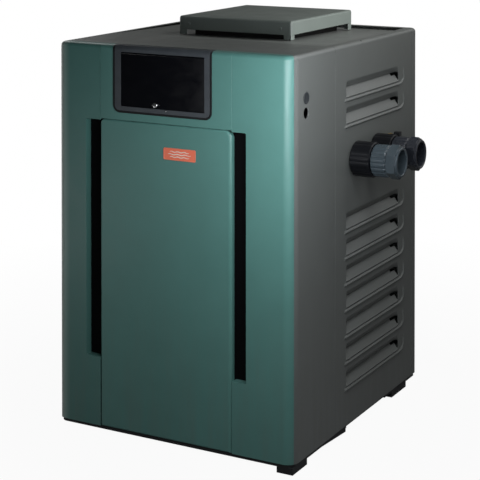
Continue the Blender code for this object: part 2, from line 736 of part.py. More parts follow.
def header_switches():
    """Two round switches standing on the right header."""
    # (z above the header, radius)
    stations = [
        (0.0003, 0.0090), (0.0080, 0.0090), (0.0080, 0.0150),
        (0.0170, 0.0150), (0.0170, 0.0060), (0.0250, 0.0060),
    ]
    for name, y, kind in (
        ("pressure_switch", -0.120, "valve_aluminium"),
        ("high_limit_switch", 0.150, "module_plastic"),
    ):
        part(name, stepped("z", (HEADER_MID_X, y), stations, 16, start=HEADER_Z[1]), kind)


# ---------------------------------------------------------------- relief valve
STEM_X = HALF_W + 0.018
STEM_AXIS = (STEM_X, RELIEF_Y)
STEM_Z = (0.6680, 0.6930)
LEVER_X, LEVER_Z = STEM_X - 0.0110, 0.6955      # the lever's pivot
LEVER_AXIS = (LEVER_Z, LEVER_X)


def relief_valve():
    """A body through the side panel, a lever on top and the stem that it lifts."""
    body = [(FITTING_X, 0.0125), (0.3290, 0.0125), (0.3290, 0.0150), (0.3560, 0.0150)]
    bonnet = [(RELIEF_Z, 0.0100), (0.6840, 0.0100), (0.6860, 0.0080), (0.6900, 0.0080)]
    bracket_x = (STEM_X - 0.0140, STEM_X - 0.0070)
    lug_x = (STEM_X - 0.0140, STEM_X - 0.0080)
    lugs = [
        box(lug_x, (RELIEF_Y + side * 0.0065, RELIEF_Y + side * 0.0038), (0.6800, 0.6985))
        for side in (-1, 1)
    ]
    part(
        "relief_valve_body",
        stepped("x", (RELIEF_Y, RELIEF_Z), body),
        "brass",
        adds=[
            stepped("z", STEM_AXIS, bonnet, 16),
            box(bracket_x, about(RELIEF_Y, 0.0065), (0.6700, 0.6900)),
            *lugs,
        ],
        cuts=[
            cylinder("z", STEM_AXIS, 0.0026, (0.665, 0.70), 12),
            cylinder("y", LEVER_AXIS, 0.00125, about(RELIEF_Y, CLEAR), 10),
        ],
    )
    arm_x, tab_x = (STEM_X - 0.0132, STEM_X + 0.0160), (STEM_X + 0.0020, STEM_X + 0.0175)
    part(
        "relief_valve_lever",
        box(arm_x, about(RELIEF_Y, 0.0034), (0.6935, 0.6975)),
        "lever_black",
        adds=[
            box(tab_x, about(RELIEF_Y, 0.0070), (0.6935, 0.7040)),
            cylinder("y", LEVER_AXIS, 0.0010, about(RELIEF_Y, 0.0064), 10),
        ],
        pivot=(LEVER_X, RELIEF_Y, LEVER_Z),
    )
    stem = cylinder("z", STEM_AXIS, 0.0020, STEM_Z, 12)
    part("relief_valve_stem", stem, "spring_steel", pivot=(*STEM_AXIS, STEM_Z[0]))


# ---------------------------------------------------------------- unions
UNION_R, UNION_BORE_R = 0.0430, 0.0235
NUT_R, NUT_BORE_R, NUT_GROOVE, NUT_RIBS = 0.0395, 0.0346, 0.0014, 18
TAIL_HEX_R, TAIL_RING_R, TAIL_BORE_R, SOCKET_R = 0.0425, 0.0360, 0.0240, 0.0302
# (x from the cabinet's side, radius)
UNION_STATIONS = (
    (FITTING_X - HALF_W, 0.0260), (0.0030, 0.0260), (0.0030, 0.0405),
    (0.0055, UNION_R), (0.0520, UNION_R), (0.0550, 0.0415),
)
TAIL_STATIONS = (
    (0.0560, 0.0340), (0.0950, 0.0340), (0.1050, 0.0355),
    (0.1235, TAIL_RING_R), (0.1250, TAIL_RING_R - 0.001),
)


def unions():
    """Each union is a body, a ribbed nut and a tailpiece with a hexagon and a pipe socket."""
    for name, y in UNION_YS.items():
        centre = (y, UNION_Z)
        part(
            f"{name}_union_body",
            stepped("x", centre, UNION_STATIONS, 32, start=HALF_W),
            "union_black",
            cuts=[cylinder("x", centre, UNION_BORE_R, (0.28, 0.40), 24)],
        )
        nut = ribbed(centre, NUT_R, NUT_GROOVE, NUT_RIBS)
        part(
            f"{name}_union_nut",
            prism("x", nut, (HALF_W + 0.0555, HALF_W + 0.0940)),
            "union_grey",
            cuts=[cylinder("x", centre, NUT_BORE_R, (0.30, 0.45), 32)],
        )
        hex_x = (HALF_W + 0.0945, HALF_W + 0.1190)
        part(
            f"{name}_tailpiece",
            stepped("x", centre, TAIL_STATIONS, 32, start=HALF_W),
            "union_grey",
            adds=[cylinder("x", centre, TAIL_HEX_R, hex_x, 6, math.pi / 2)],
            cuts=[
                cylinder("x", centre, TAIL_BORE_R, (0.35, 0.50), 24),
                cylinder("x", centre, SOCKET_R, (HALF_W + 0.0750, 0.50), 32),
            ],
        )


# ---------------------------------------------------------------- firebox and flue
FIREBOX_HALF_W, FIREBOX_HALF_D = 0.2250, 0.2050
FIREBOX_TOP = 0.6000
LINER_T = 0.022


def centred_box(half_w, half_d, zs):
    return box(about(0, half_w), about(0, half_d), zs)


def firebox():
    """An open-ended shell with a front opening for the burners, and its liner."""
    part(
        "firebox_shell",
        centred_box(FIREBOX_HALF_W, FIREBOX_HALF_D, (PANEL_BOTTOM + 0.0002, FIREBOX_TOP)),
        "galvanised",
        cuts=[
            centred_box(FIREBOX_HALF_W - SKIN, FIREBOX_HALF_D - SKIN, (0.0, 0.7)),
            box(about(0, 0.2050), (-0.30, -0.15), (0.0450, 0.2050)),
        ],
    )
    half_w, half_d = FIREBOX_HALF_W - SKIN - GAP, FIREBOX_HALF_D - SKIN - GAP
    part(
        "refractory_liner",
        centred_box(half_w, half_d, (0.2120, 0.5950)),
        "refractory",
        cuts=[centred_box(half_w - LINER_T, half_d - LINER_T, (0.1, 0.7))],
    )


def hood(off, z_low, z_high):
    """A firebox-sized box that narrows to the collar's size, moved outwards by off."""
    wide = rectangle(about(0, FIREBOX_HALF_W + off), about(0, FIREBOX_HALF_D + off))
    narrow = rectangle(grow(COLLAR_X, off), grow(COLLAR_Y, off))
    levels = ((wide, z_low), (wide, 0.7200), (narrow, 0.8700), (narrow, z_high))
    return loft([place("z", outline, z) for outline, z in levels])


def flue_collector():
    """A hood over the finned tubes, open at both ends."""
    holes = [cylinder("x", (y, UNION_Z), 0.0125, (-0.24, 0.24), 12) for y in TUBE_YS]
    part(
        "flue_collector",
        hood(0.0, FIREBOX_TOP + GAP, 0.9050),
        "galvanised",
        cuts=[hood(-SKIN, FIREBOX_TOP - CLEAR, 0.92), *holes],
    )


# ---------------------------------------------------------------- burners and gas train
BURNER_XS = (-0.13, 0.0, 0.13)
BURNER_Z = MANIFOLD_Z
SLOT_COUNT, SLOT_PITCH, FIRST_SLOT_Y, BURNER_SLOT_W = 9, 0.0370, -0.1700, 0.0060
# (y, radius), outside and inside
BURNER_OUTER = (
    (-0.2450, 0.0170), (-0.2250, 0.0120), (-0.2050, 0.0200), (0.1650, 0.0200), (0.1850, 0.0180),
)
BURNER_INNER = (
    (-0.2600, 0.0155), (-0.2450, 0.0155), (-0.2250, 0.0105), (-0.2050, 0.0185), (0.1600, 0.0185),
)
KNOB_X, KNOB_Z = -0.2220, MANIFOLD_Z + 0.0020
KNOB_BACK = -0.0334             # back of the knob, from the manifold's axis


def burner_tray():
    """A frame with a cross rail at each end that carries the burners."""
    obj = new_object("burner_tray", box(about(0, 0.2000), (-0.2450, 0.1950), (0.0700, 0.0850)))
    cut(obj, box(about(0, 0.1880), (-0.2300, 0.1800), (0.0, 0.2)))
    for rail_y in ((-0.1980, -0.1900), (0.1700, 0.1780)):
        add(obj, box(about(0, 0.1950), rail_y, (0.0750, 0.1350)))
    cut(obj, *[cylinder("y", (BURNER_Z, x), 0.0204, (-0.30, 0.30)) for x in BURNER_XS])
    finish(obj, "galvanised")


def burner_tubes():
    """Tubes with a narrowed throat at the front and a row of flame slots on top."""
    for k, x in enumerate(BURNER_XS):
        centre = (BURNER_Z, x)
        slots = []
        for i in range(SLOT_COUNT):
            y = FIRST_SLOT_Y + SLOT_PITCH * i
            slots.append(box(about(x, 0.0120), (y, y + BURNER_SLOT_W), (0.1520, 0.17)))
        part(
            f"burner_tube_{k + 1}",
            stepped("y", centre, BURNER_OUTER, 16),
            "burner_steel",
            cuts=[stepped("y", centre, BURNER_INNER, 16), *slots],
        )


def gas_manifold():
    """A pipe with a larger right end and one spud for each burner."""
    stations = [(-0.1870, 0.0110), (0.1650, 0.0110), (0.1650, 0.0140), (0.1780, 0.0140)]
    spud_y = (MANIFOLD_Y + 0.005, MANIFOLD_Y + 0.0250)
    part(
        "gas_manifold",
        stepped("x", MANIFOLD_AXIS, stations, 16),
        "black_iron",
        adds=[cylinder("y", (MANIFOLD_Z, x), 0.0040, spud_y, 12) for x in BURNER_XS],
    )


def gas_valve():
    """The valve block, its knob and the supply pipe on its left."""
    knob_axis = (KNOB_Z, KNOB_X)
    block = rounded((-0.2560, -0.1880), about(MANIFOLD_Y, 0.0260), (0.006,) * 4, 2)
    tower_z = (MANIFOLD_Z + 0.0290, MANIFOLD_Z + 0.0480)
    part(
        "gas_valve",
        prism("z", block, (MANIFOLD_Z - 0.0280, MANIFOLD_Z + 0.0300)),
        "valve_aluminium",
        adds=[
            cylinder("z", (-0.2380, MANIFOLD_Y), 0.0120, tower_z, 16),
            cylinder("y", knob_axis, 0.0135, (MANIFOLD_Y - 0.0330, MANIFOLD_Y - 0.0250)),
        ],
    )
    stations = [(-0.0480, 0.0100), (-0.0470, 0.0115), (KNOB_BACK, 0.0125)]
    grip_y = (MANIFOLD_Y - 0.0520, MANIFOLD_Y - 0.0460)
    part(
        "gas_valve_knob",
        stepped("y", knob_axis, stations, start=MANIFOLD_Y),
        "knob_plastic",
        adds=[box(about(KNOB_X, 0.0020), grip_y, about(KNOB_Z, 0.0100))],
        pivot=(KNOB_X, MANIFOLD_Y + KNOB_BACK, KNOB_Z),
    )
    part(
        "gas_supply_pipe",
        cylinder("x", MANIFOLD_AXIS, 0.0105, (-0.3450, -0.2564)),
        "black_iron",
        cuts=[cylinder("x", MANIFOLD_AXIS, 0.0080, (-0.36, -0.2640), 16)],
    )


def pilot_igniter():
    """A bracket carrying a block and two rods of different size."""
    part(
        "pilot_igniter",
        box((0.0560, 0.0740), (-0.2300, -0.2080), (0.1480, 0.1540)),
        "brass",
        adds=[
            cylinder("y", (0.1620, 0.0610), 0.0030, (-0.2250, -0.1950), 10),
            cylinder("y", (0.1620, 0.0690), 0.0018, (-0.2250, -0.1880), 8),
            box((0.0580, 0.0720), (-0.2240, -0.2100), (0.1500, 0.1640)),
        ],
    )


# ---------------------------------------------------------------- electrics
HARNESS_R = 0.0042
# points from behind the control board down to the top of the gas valve
HARNESS_PATH = (
    (0.020, -0.3300, 0.905), (0.020, -0.3150, 0.880), (-0.010, -0.3050, 0.800),
    (-0.080, -0.3000, 0.650), (-0.150, -0.2950, 0.450), (-0.205, -0.2880, 0.280),
    (-0.212, -0.2790, 0.215), (-0.212, -0.2750, 0.1705),
)


def ignition_module():
    part(
        "ignition_module",
        box((0.0400, 0.1300), (-0.2350, -0.2053), (0.3900, 0.4700)),
        "module_plastic",
        adds=[box((0.0500, 0.1200), (-0.2400, -0.2340), (0.4520, 0.4640))],
    )


def transformer():
    """A core and winding on an angle bracket against the right wall."""
    bracket_y = (-0.2850, -0.2050)
    part(
        "transformer",
        box((0.2650, 0.3150), (-0.2700, -0.2200), (0.7200, 0.7800)),
        "transformer_steel",
        adds=[
            box((0.3140, 0.3226), bracket_y, (0.7250, 0.7300)),
            box((0.3195, 0.3226), bracket_y, (0.7250, 0.7550)),
            box((0.2720, 0.3080), (-0.2780, -0.2120), (0.7320, 0.7680)),
        ],
    )


def wiring_harness():
    bar = round_bar(spline(HARNESS_PATH, 3), HARNESS_R, 8)
    part("wiring_harness", bar, "cable_rubber")


# ---------------------------------------------------------------- assembly
BUILDERS = (
    wing_panels, front_header_panel, access_door, badge_plate,
    control_bezel, control_cover, cover_latch, control_fascia, control_board,
    front_cowl, knockout_plug, side_panels, rear_panel,
    rear_deck, vent_collar, vent_cap, base_pan,
    headers, bypass, drain_plug, finned_tubes, header_switches, relief_valve, unions,
    firebox, flue_collector, burner_tray, burner_tubes, gas_manifold, gas_valve, pilot_igniter,
    ignition_module, transformer, wiring_harness,
)


def origin_to_bottom_centre():
    """Move everything so that the whole object's bottom centre is at the origin."""
    corners = [obj.location + v.co for obj in bpy.data.objects for v in obj.data.vertices]
    low = [min(c[i] for c in corners) for i in range(3)]
    high = [max(c[i] for c in corners) for i in range(3)]
    shift = Vector((-0.5 * (low[0] + high[0]), -0.5 * (low[1] + high[1]), -low[2]))
    for obj in bpy.data.objects:
        obj.location += shift


def main():
    for obj in list(bpy.data.objects):
        bpy.data.objects.remove(obj, do_unlink=True)
    for build in BUILDERS:
        build()
    origin_to_bottom_centre()


main()
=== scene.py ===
import json
import math

import bmesh
import bpy
from mathutils import Matrix, Vector

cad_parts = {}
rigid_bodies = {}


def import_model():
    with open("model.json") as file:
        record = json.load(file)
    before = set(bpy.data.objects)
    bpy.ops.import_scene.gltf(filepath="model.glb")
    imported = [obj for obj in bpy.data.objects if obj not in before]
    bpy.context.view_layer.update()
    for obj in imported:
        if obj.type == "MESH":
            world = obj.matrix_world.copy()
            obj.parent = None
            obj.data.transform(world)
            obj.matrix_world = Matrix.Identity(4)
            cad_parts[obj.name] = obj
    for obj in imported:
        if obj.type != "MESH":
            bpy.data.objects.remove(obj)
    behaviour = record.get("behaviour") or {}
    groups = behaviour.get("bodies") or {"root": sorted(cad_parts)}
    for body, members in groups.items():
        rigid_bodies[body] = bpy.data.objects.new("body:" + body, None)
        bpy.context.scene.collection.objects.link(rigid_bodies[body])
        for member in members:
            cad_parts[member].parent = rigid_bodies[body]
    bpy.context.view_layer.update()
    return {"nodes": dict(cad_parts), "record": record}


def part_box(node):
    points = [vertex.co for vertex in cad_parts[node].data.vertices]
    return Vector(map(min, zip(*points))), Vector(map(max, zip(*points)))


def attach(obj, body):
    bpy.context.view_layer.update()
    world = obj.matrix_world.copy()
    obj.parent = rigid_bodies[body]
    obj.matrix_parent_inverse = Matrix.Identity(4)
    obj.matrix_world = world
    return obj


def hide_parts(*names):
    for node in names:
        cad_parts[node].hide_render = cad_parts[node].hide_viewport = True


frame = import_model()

NODES = frame["nodes"]
SLOT_OF = {s["node"]: s["material_slot"] for s in frame["record"]["subparts"]}
BODY_OF = {n: b for b, ns in frame["record"]["behaviour"]["bodies"].items() for n in ns}

# ---------------------------------------------------------------- places, all read from the frame
cowl_lo, cowl_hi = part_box("front_cowl")
door_lo, door_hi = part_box("access_door")
rear_lo, rear_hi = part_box("rear_panel")
HALF_W = 0.5 * (cowl_hi.x - cowl_lo.x)
HALF_D = 0.5 * (rear_hi.y - door_lo.y)
DX = 0.5 * (cowl_hi.x + cowl_lo.x)      # the cabinet's centre line, in the row frame
DY = 0.5 * (rear_hi.y + door_lo.y)
TOP = cowl_hi.z
BOTTOM = cowl_lo.z
OFF = Vector((DX, DY, 0.0))


def local(node):
    """A CAD node's box about the cabinet's centre line."""
    lo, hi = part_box(node)
    return lo - OFF, hi - OFF


R_FRONT, R_RIGHT, R_REAR, R_TOP, SKIN = 0.020, 0.029, 0.004, 0.011, 0.002


# ---------------------------------------------------------------- materials
def tree(name):
    m = bpy.data.materials.new(name)
    m.use_nodes = True
    nt = m.node_tree
    shader = nt.nodes["Principled BSDF"]
    return m, nt, shader


class Net:
    """Short names for the node calls that every material here uses."""

    def __init__(self, nt):
        self.nt = nt
        coord = nt.nodes.new("ShaderNodeTexCoord")
        self.co = coord.outputs["Object"]

    def new(self, kind, **props):
        node = self.nt.nodes.new(kind)
        for k, v in props.items():
            setattr(node, k, v)
        return node

    def link(self, a, b):
        self.nt.links.new(a, b)

    def put(self, socket, value):
        if hasattr(value, "is_output") or isinstance(value, bpy.types.NodeSocket):
            self.link(value, socket)
        else:
            socket.default_value = value

    def noise(self, scale, detail=3.0, rough=0.55, stretch=None, distort=0.0):
        node = self.new("ShaderNodeTexNoise")
        node.inputs["Scale"].default_value = scale
        node.inputs["Detail"].default_value = detail
        node.inputs["Roughness"].default_value = rough
        node.inputs["Distortion"].default_value = distort
        if stretch:
            m = self.new("ShaderNodeMapping")
            m.inputs["Scale"].default_value = stretch
            self.link(self.co, m.inputs["Vector"])
            self.link(m.outputs["Vector"], node.inputs["Vector"])
        else:
            self.link(self.co, node.inputs["Vector"])
        return node.outputs["Fac"]

    def math(self, op, a, b=0.0, clamp=False):
        node = self.new("ShaderNodeMath", operation=op, use_clamp=clamp)
        self.put(node.inputs[0], a)
        self.put(node.inputs[1], b)
        return node.outputs[0]

    def ramp(self, fac, lo, hi, a=0.0, b=1.0):
        node = self.new("ShaderNodeMapRange", clamp=True)
        self.put(node.inputs["Value"], fac)
        node.inputs["From Min"].default_value = lo
        node.inputs["From Max"].default_value = hi
        node.inputs["To Min"].default_value = a
        node.inputs["To Max"].default_value = b
        return node.outputs["Result"]

    def mix(self, fac, a, b, kind="MIX"):
        node = self.new("ShaderNodeMix", data_type="RGBA", blend_type=kind)
        self.put(node.inputs[0], fac)
        self.put(node.inputs[6], a if not isinstance(a, tuple) else (*a, 1.0)[:4])
        self.put(node.inputs[7], b if not isinstance(b, tuple) else (*b, 1.0)[:4])
        return node.outputs[2]

    def edge(self, radius, lo=0.02, hi=0.25):
        """1 at a convex or concave edge, 0 on a face."""
        bev = self.new("ShaderNodeBevel", samples=4)
        bev.inputs["Radius"].default_value = radius
        geo = self.new("ShaderNodeNewGeometry")
        dot = self.new("ShaderNodeVectorMath", operation="DOT_PRODUCT")
        self.link(bev.outputs["Normal"], dot.inputs[0])
        self.link(geo.outputs["Normal"], dot.inputs[1])
        return self.ramp(self.math("SUBTRACT", 1.0, dot.outputs["Value"]), lo, hi)

    def bump(self, height, strength, distance, normal=None):
        node = self.new("ShaderNodeBump")
        node.inputs["Strength"].default_value = strength
        node.inputs["Distance"].default_value = distance
        self.link(height, node.inputs["Height"])
        if normal is not None:
            self.link(normal, node.inputs["Normal"])
        return node.outputs["Normal"]

    def up(self):
        geo = self.new("ShaderNodeNewGeometry")
        sep = self.new("ShaderNodeSeparateXYZ")
        self.link(geo.outputs["Normal"], sep.inputs[0])
        return sep.outputs["Z"]

    def height(self):
        sep = self.new("ShaderNodeSeparateXYZ")
        self.link(self.co, sep.inputs[0])
        return sep.outputs["Z"]


def paint(name, colour, rough=0.40, edge_wear_highlight_colour=(0.30, 0.31, 0.30), edge_wear_highlight_amount=0.35, dust=0.22, coat=0.0, peel=0.05, painted_light_band=None):
    """Powder-coated sheet metal: mottled colour, orange peel, thin dust low down, and paler rubbed edges that are
    partly real wear and partly a painted highlight along the edges.
    """
    m, nt, sh = tree(name)
    n = Net(nt)
    big = n.noise(2.3, 4.0, 0.55)
    mid = n.noise(17.0, 5.0, 0.6)
    tone = n.math("ADD", n.math("MULTIPLY", big, 0.22), n.math("MULTIPLY", mid, 0.10))
    dark = tuple(c * 0.88 for c in colour)
    light = tuple(min(1.0, c * 1.10) for c in colour)
    base = n.mix(n.ramp(tone, 0.08, 0.24), dark, light)
    if painted_light_band:
        # Painted light: a band of another tone that fades out sideways, from one x to another; a pale tone paints a
        # highlight, a darker one paints shade.
        x0, x1, pale = painted_light_band
        sep = n.new("ShaderNodeSeparateXYZ")
        n.link(n.co, sep.inputs[0])
        fade = n.ramp(sep.outputs["X"], x0, x1, 1.0, 0.0)
        base = n.mix(n.math("POWER", fade, 1.6), base, pale)
    streak = n.noise(9.0, 4.0, 0.6, stretch=(6.0, 6.0, 0.5))
    low = n.ramp(n.height(), 0.45, 0.02, 0.0, 1.0)
    dusty = n.math("MULTIPLY", n.math("MULTIPLY", low, n.ramp(streak, 0.35, 0.75)), dust)
    flat = n.ramp(n.up(), 0.6, 0.98, 0.0, 0.35 * dust)
    dusty = n.math("ADD", dusty, n.math("MULTIPLY", flat, n.ramp(mid, 0.3, 0.7)), clamp=True)
    base = n.mix(dusty, base, (0.16, 0.15, 0.13))
    # Paler edges: partly worn paint, partly a painted highlight along the edges.
    chips = n.ramp(n.noise(140.0, 6.0, 0.7), 0.46, 0.62)
    worn_and_highlit_edges = n.math("MULTIPLY", n.math("MULTIPLY", n.edge(0.0016), chips), edge_wear_highlight_amount)
    base = n.mix(worn_and_highlit_edges, base, edge_wear_highlight_colour)
    n.link(base, sh.inputs["Base Color"])
    r = n.math("ADD", n.ramp(mid, 0.25, 0.8, rough - 0.05, rough + 0.07), n.math("MULTIPLY", dusty, 0.5), clamp=True)
    n.link(r, sh.inputs["Roughness"])
    fine = n.noise(420.0, 2.0, 0.5)
    coarse = n.noise(130.0, 2.0, 0.5)
    nrm = n.bump(n.math("ADD", n.math("MULTIPLY", fine, 0.5), coarse), peel, 0.0006)
    n.link(nrm, sh.inputs["Normal"])
    sh.inputs["Specular IOR Level"].default_value = 0.5
    if coat:
        sh.inputs["Coat Weight"].default_value = coat
        sh.inputs["Coat Roughness"].default_value = 0.25
    return m


def plastic(name, colour, rough=0.45, grain=0.10, edge=(0.14, 0.14, 0.15), edge_amount=0.4, scale=900.0, spec=0.5):
    """Moulded plastic or rubber: fine spark texture, faint mottling, paler rubbed edges; on the water unions, where the
    edge colour is far paler than the body, the pale edges are a painted highlight.
    """
    m, nt, sh = tree(name)
    n = Net(nt)
    mid = n.noise(25.0, 4.0, 0.6)
    base = n.mix(n.ramp(mid, 0.3, 0.7), tuple(c * 0.86 for c in colour), tuple(min(1.0, c * 1.14) for c in colour))
    # Paler edges: worn plastic, and on the water unions a painted highlight.
    worn_and_highlit_edges = n.math("MULTIPLY", n.math("MULTIPLY", n.edge(0.0012), n.ramp(n.noise(160.0, 5.0, 0.7), 0.42, 0.66)), edge_amount)
    base = n.mix(worn_and_highlit_edges, base, edge)
    n.link(base, sh.inputs["Base Color"])
    n.link(n.ramp(mid, 0.2, 0.8, rough - 0.06, rough + 0.08), sh.inputs["Roughness"])
    n.link(n.bump(n.noise(scale, 3.0, 0.6), grain, 0.0004), sh.inputs["Normal"])
    sh.inputs["Specular IOR Level"].default_value = spec
    return m


def metal(name, colour, rough=0.35, brushed=None, spangle=0.0, tint=None, grain=0.06, tarnish=0.25):
    """Bare metal: brushing or zinc spangle, with dull patches and heat tint where asked."""
    m, nt, sh = tree(name)
    n = Net(nt)
    mid = n.noise(14.0, 5.0, 0.62)
    fine = n.noise(90.0, 5.0, 0.65)
    base = n.mix(n.ramp(mid, 0.3, 0.72), tuple(c * (1.0 - tarnish) for c in colour), colour)
    if spangle:
        cell = n.new("ShaderNodeTexVoronoi", feature="F1")
        cell.inputs["Scale"].default_value = 95.0
        n.link(n.co, cell.inputs["Vector"])
        sep = n.new("ShaderNodeSeparateColor")
        n.link(cell.outputs["Color"], sep.inputs["Color"])
        base = n.mix(n.math("MULTIPLY", sep.outputs[0], spangle), base, tuple(min(1.0, c * 1.5) for c in colour))
    if tint:
        base = n.mix(n.ramp(fine, 0.45, 0.75, 0.0, 0.7), base, tint)
    n.link(base, sh.inputs["Base Color"])
    sh.inputs["Metallic"].default_value = 1.0
    n.link(n.ramp(n.math("ADD", n.math("MULTIPLY", mid, 0.6), n.math("MULTIPLY", fine, 0.4)), 0.3, 0.75, max(0.05, rough - 0.10), rough + 0.14), sh.inputs["Roughness"])
    height = n.noise(500.0, 3.0, 0.6, stretch=brushed) if brushed else n.noise(700.0, 3.0, 0.6)
    n.link(n.bump(height, grain, 0.0004), sh.inputs["Normal"])
    return m


def smoked():
    m, nt, sh = tree("smoked_window")
    n = Net(nt)
    sh.inputs["Base Color"].default_value = (0.0045, 0.0048, 0.0065, 1.0)
    smear = n.noise(22.0, 6.0, 0.65, stretch=(1.0, 1.0, 2.6))
    n.link(n.ramp(smear, 0.35, 0.75, 0.055, 0.20), sh.inputs["Roughness"])
    n.link(n.ramp(n.noise(7.0, 3.0, 0.5), 0.2, 0.8, 0.90, 0.95), sh.inputs["Alpha"])
    n.link(n.bump(n.noise(60.0, 2.0, 0.5), 0.02, 0.0003), sh.inputs["Normal"])
    sh.inputs["Specular IOR Level"].default_value = 0.45
    return m


def display():
    m, nt, sh = tree("display_glass")
    n = Net(nt)
    wave = n.new("ShaderNodeTexWave", wave_type="BANDS", bands_direction="Z")
    wave.inputs["Scale"].default_value = 420.0
    n.link(n.co, wave.inputs["Vector"])
    base = n.mix(n.math("MULTIPLY", wave.outputs["Fac"], 0.25), (0.055, 0.080, 0.050), (0.080, 0.110, 0.065))
    n.link(base, sh.inputs["Base Color"])
    n.link(n.ramp(n.noise(30.0, 4.0), 0.3, 0.7, 0.07, 0.16), sh.inputs["Roughness"])
    return m


def refractory():
    m, nt, sh = tree("refractory")
    n = Net(nt)
    spots = n.noise(60.0, 8.0, 0.7)
    base = n.mix(n.ramp(spots, 0.35, 0.65), (0.50, 0.47, 0.41), (0.68, 0.65, 0.59))
    soot = n.ramp(n.noise(6.0, 5.0, 0.65), 0.52, 0.72, 0.0, 0.6)
    n.link(n.mix(soot, base, (0.12, 0.11, 0.10)), sh.inputs["Base Color"])
    sh.inputs["Roughness"].default_value = 0.95
    n.link(n.bump(spots, 0.35, 0.002), sh.inputs["Normal"])
    return m


def board():
    m, nt, sh = tree("board_green")
    n = Net(nt)
    brick = n.new("ShaderNodeTexBrick")
    brick.inputs["Scale"].default_value = 90.0
    brick.inputs["Mortar Size"].default_value = 0.03
    brick.inputs["Color1"].default_value = (0.016, 0.095, 0.040, 1)
    brick.inputs["Color2"].default_value = (0.020, 0.120, 0.052, 1)
    brick.inputs["Mortar"].default_value = (0.040, 0.170, 0.080, 1)
    m2 = n.new("ShaderNodeMapping")
    m2.inputs["Rotation"].default_value = (math.pi / 2, 0, 0)
    n.link(n.co, m2.inputs["Vector"])
    n.link(m2.outputs["Vector"], brick.inputs["Vector"])
    n.link(brick.outputs["Color"], sh.inputs["Base Color"])
    n.link(n.ramp(n.noise(40.0, 4.0), 0.3, 0.7, 0.35, 0.55), sh.inputs["Roughness"])
    return m


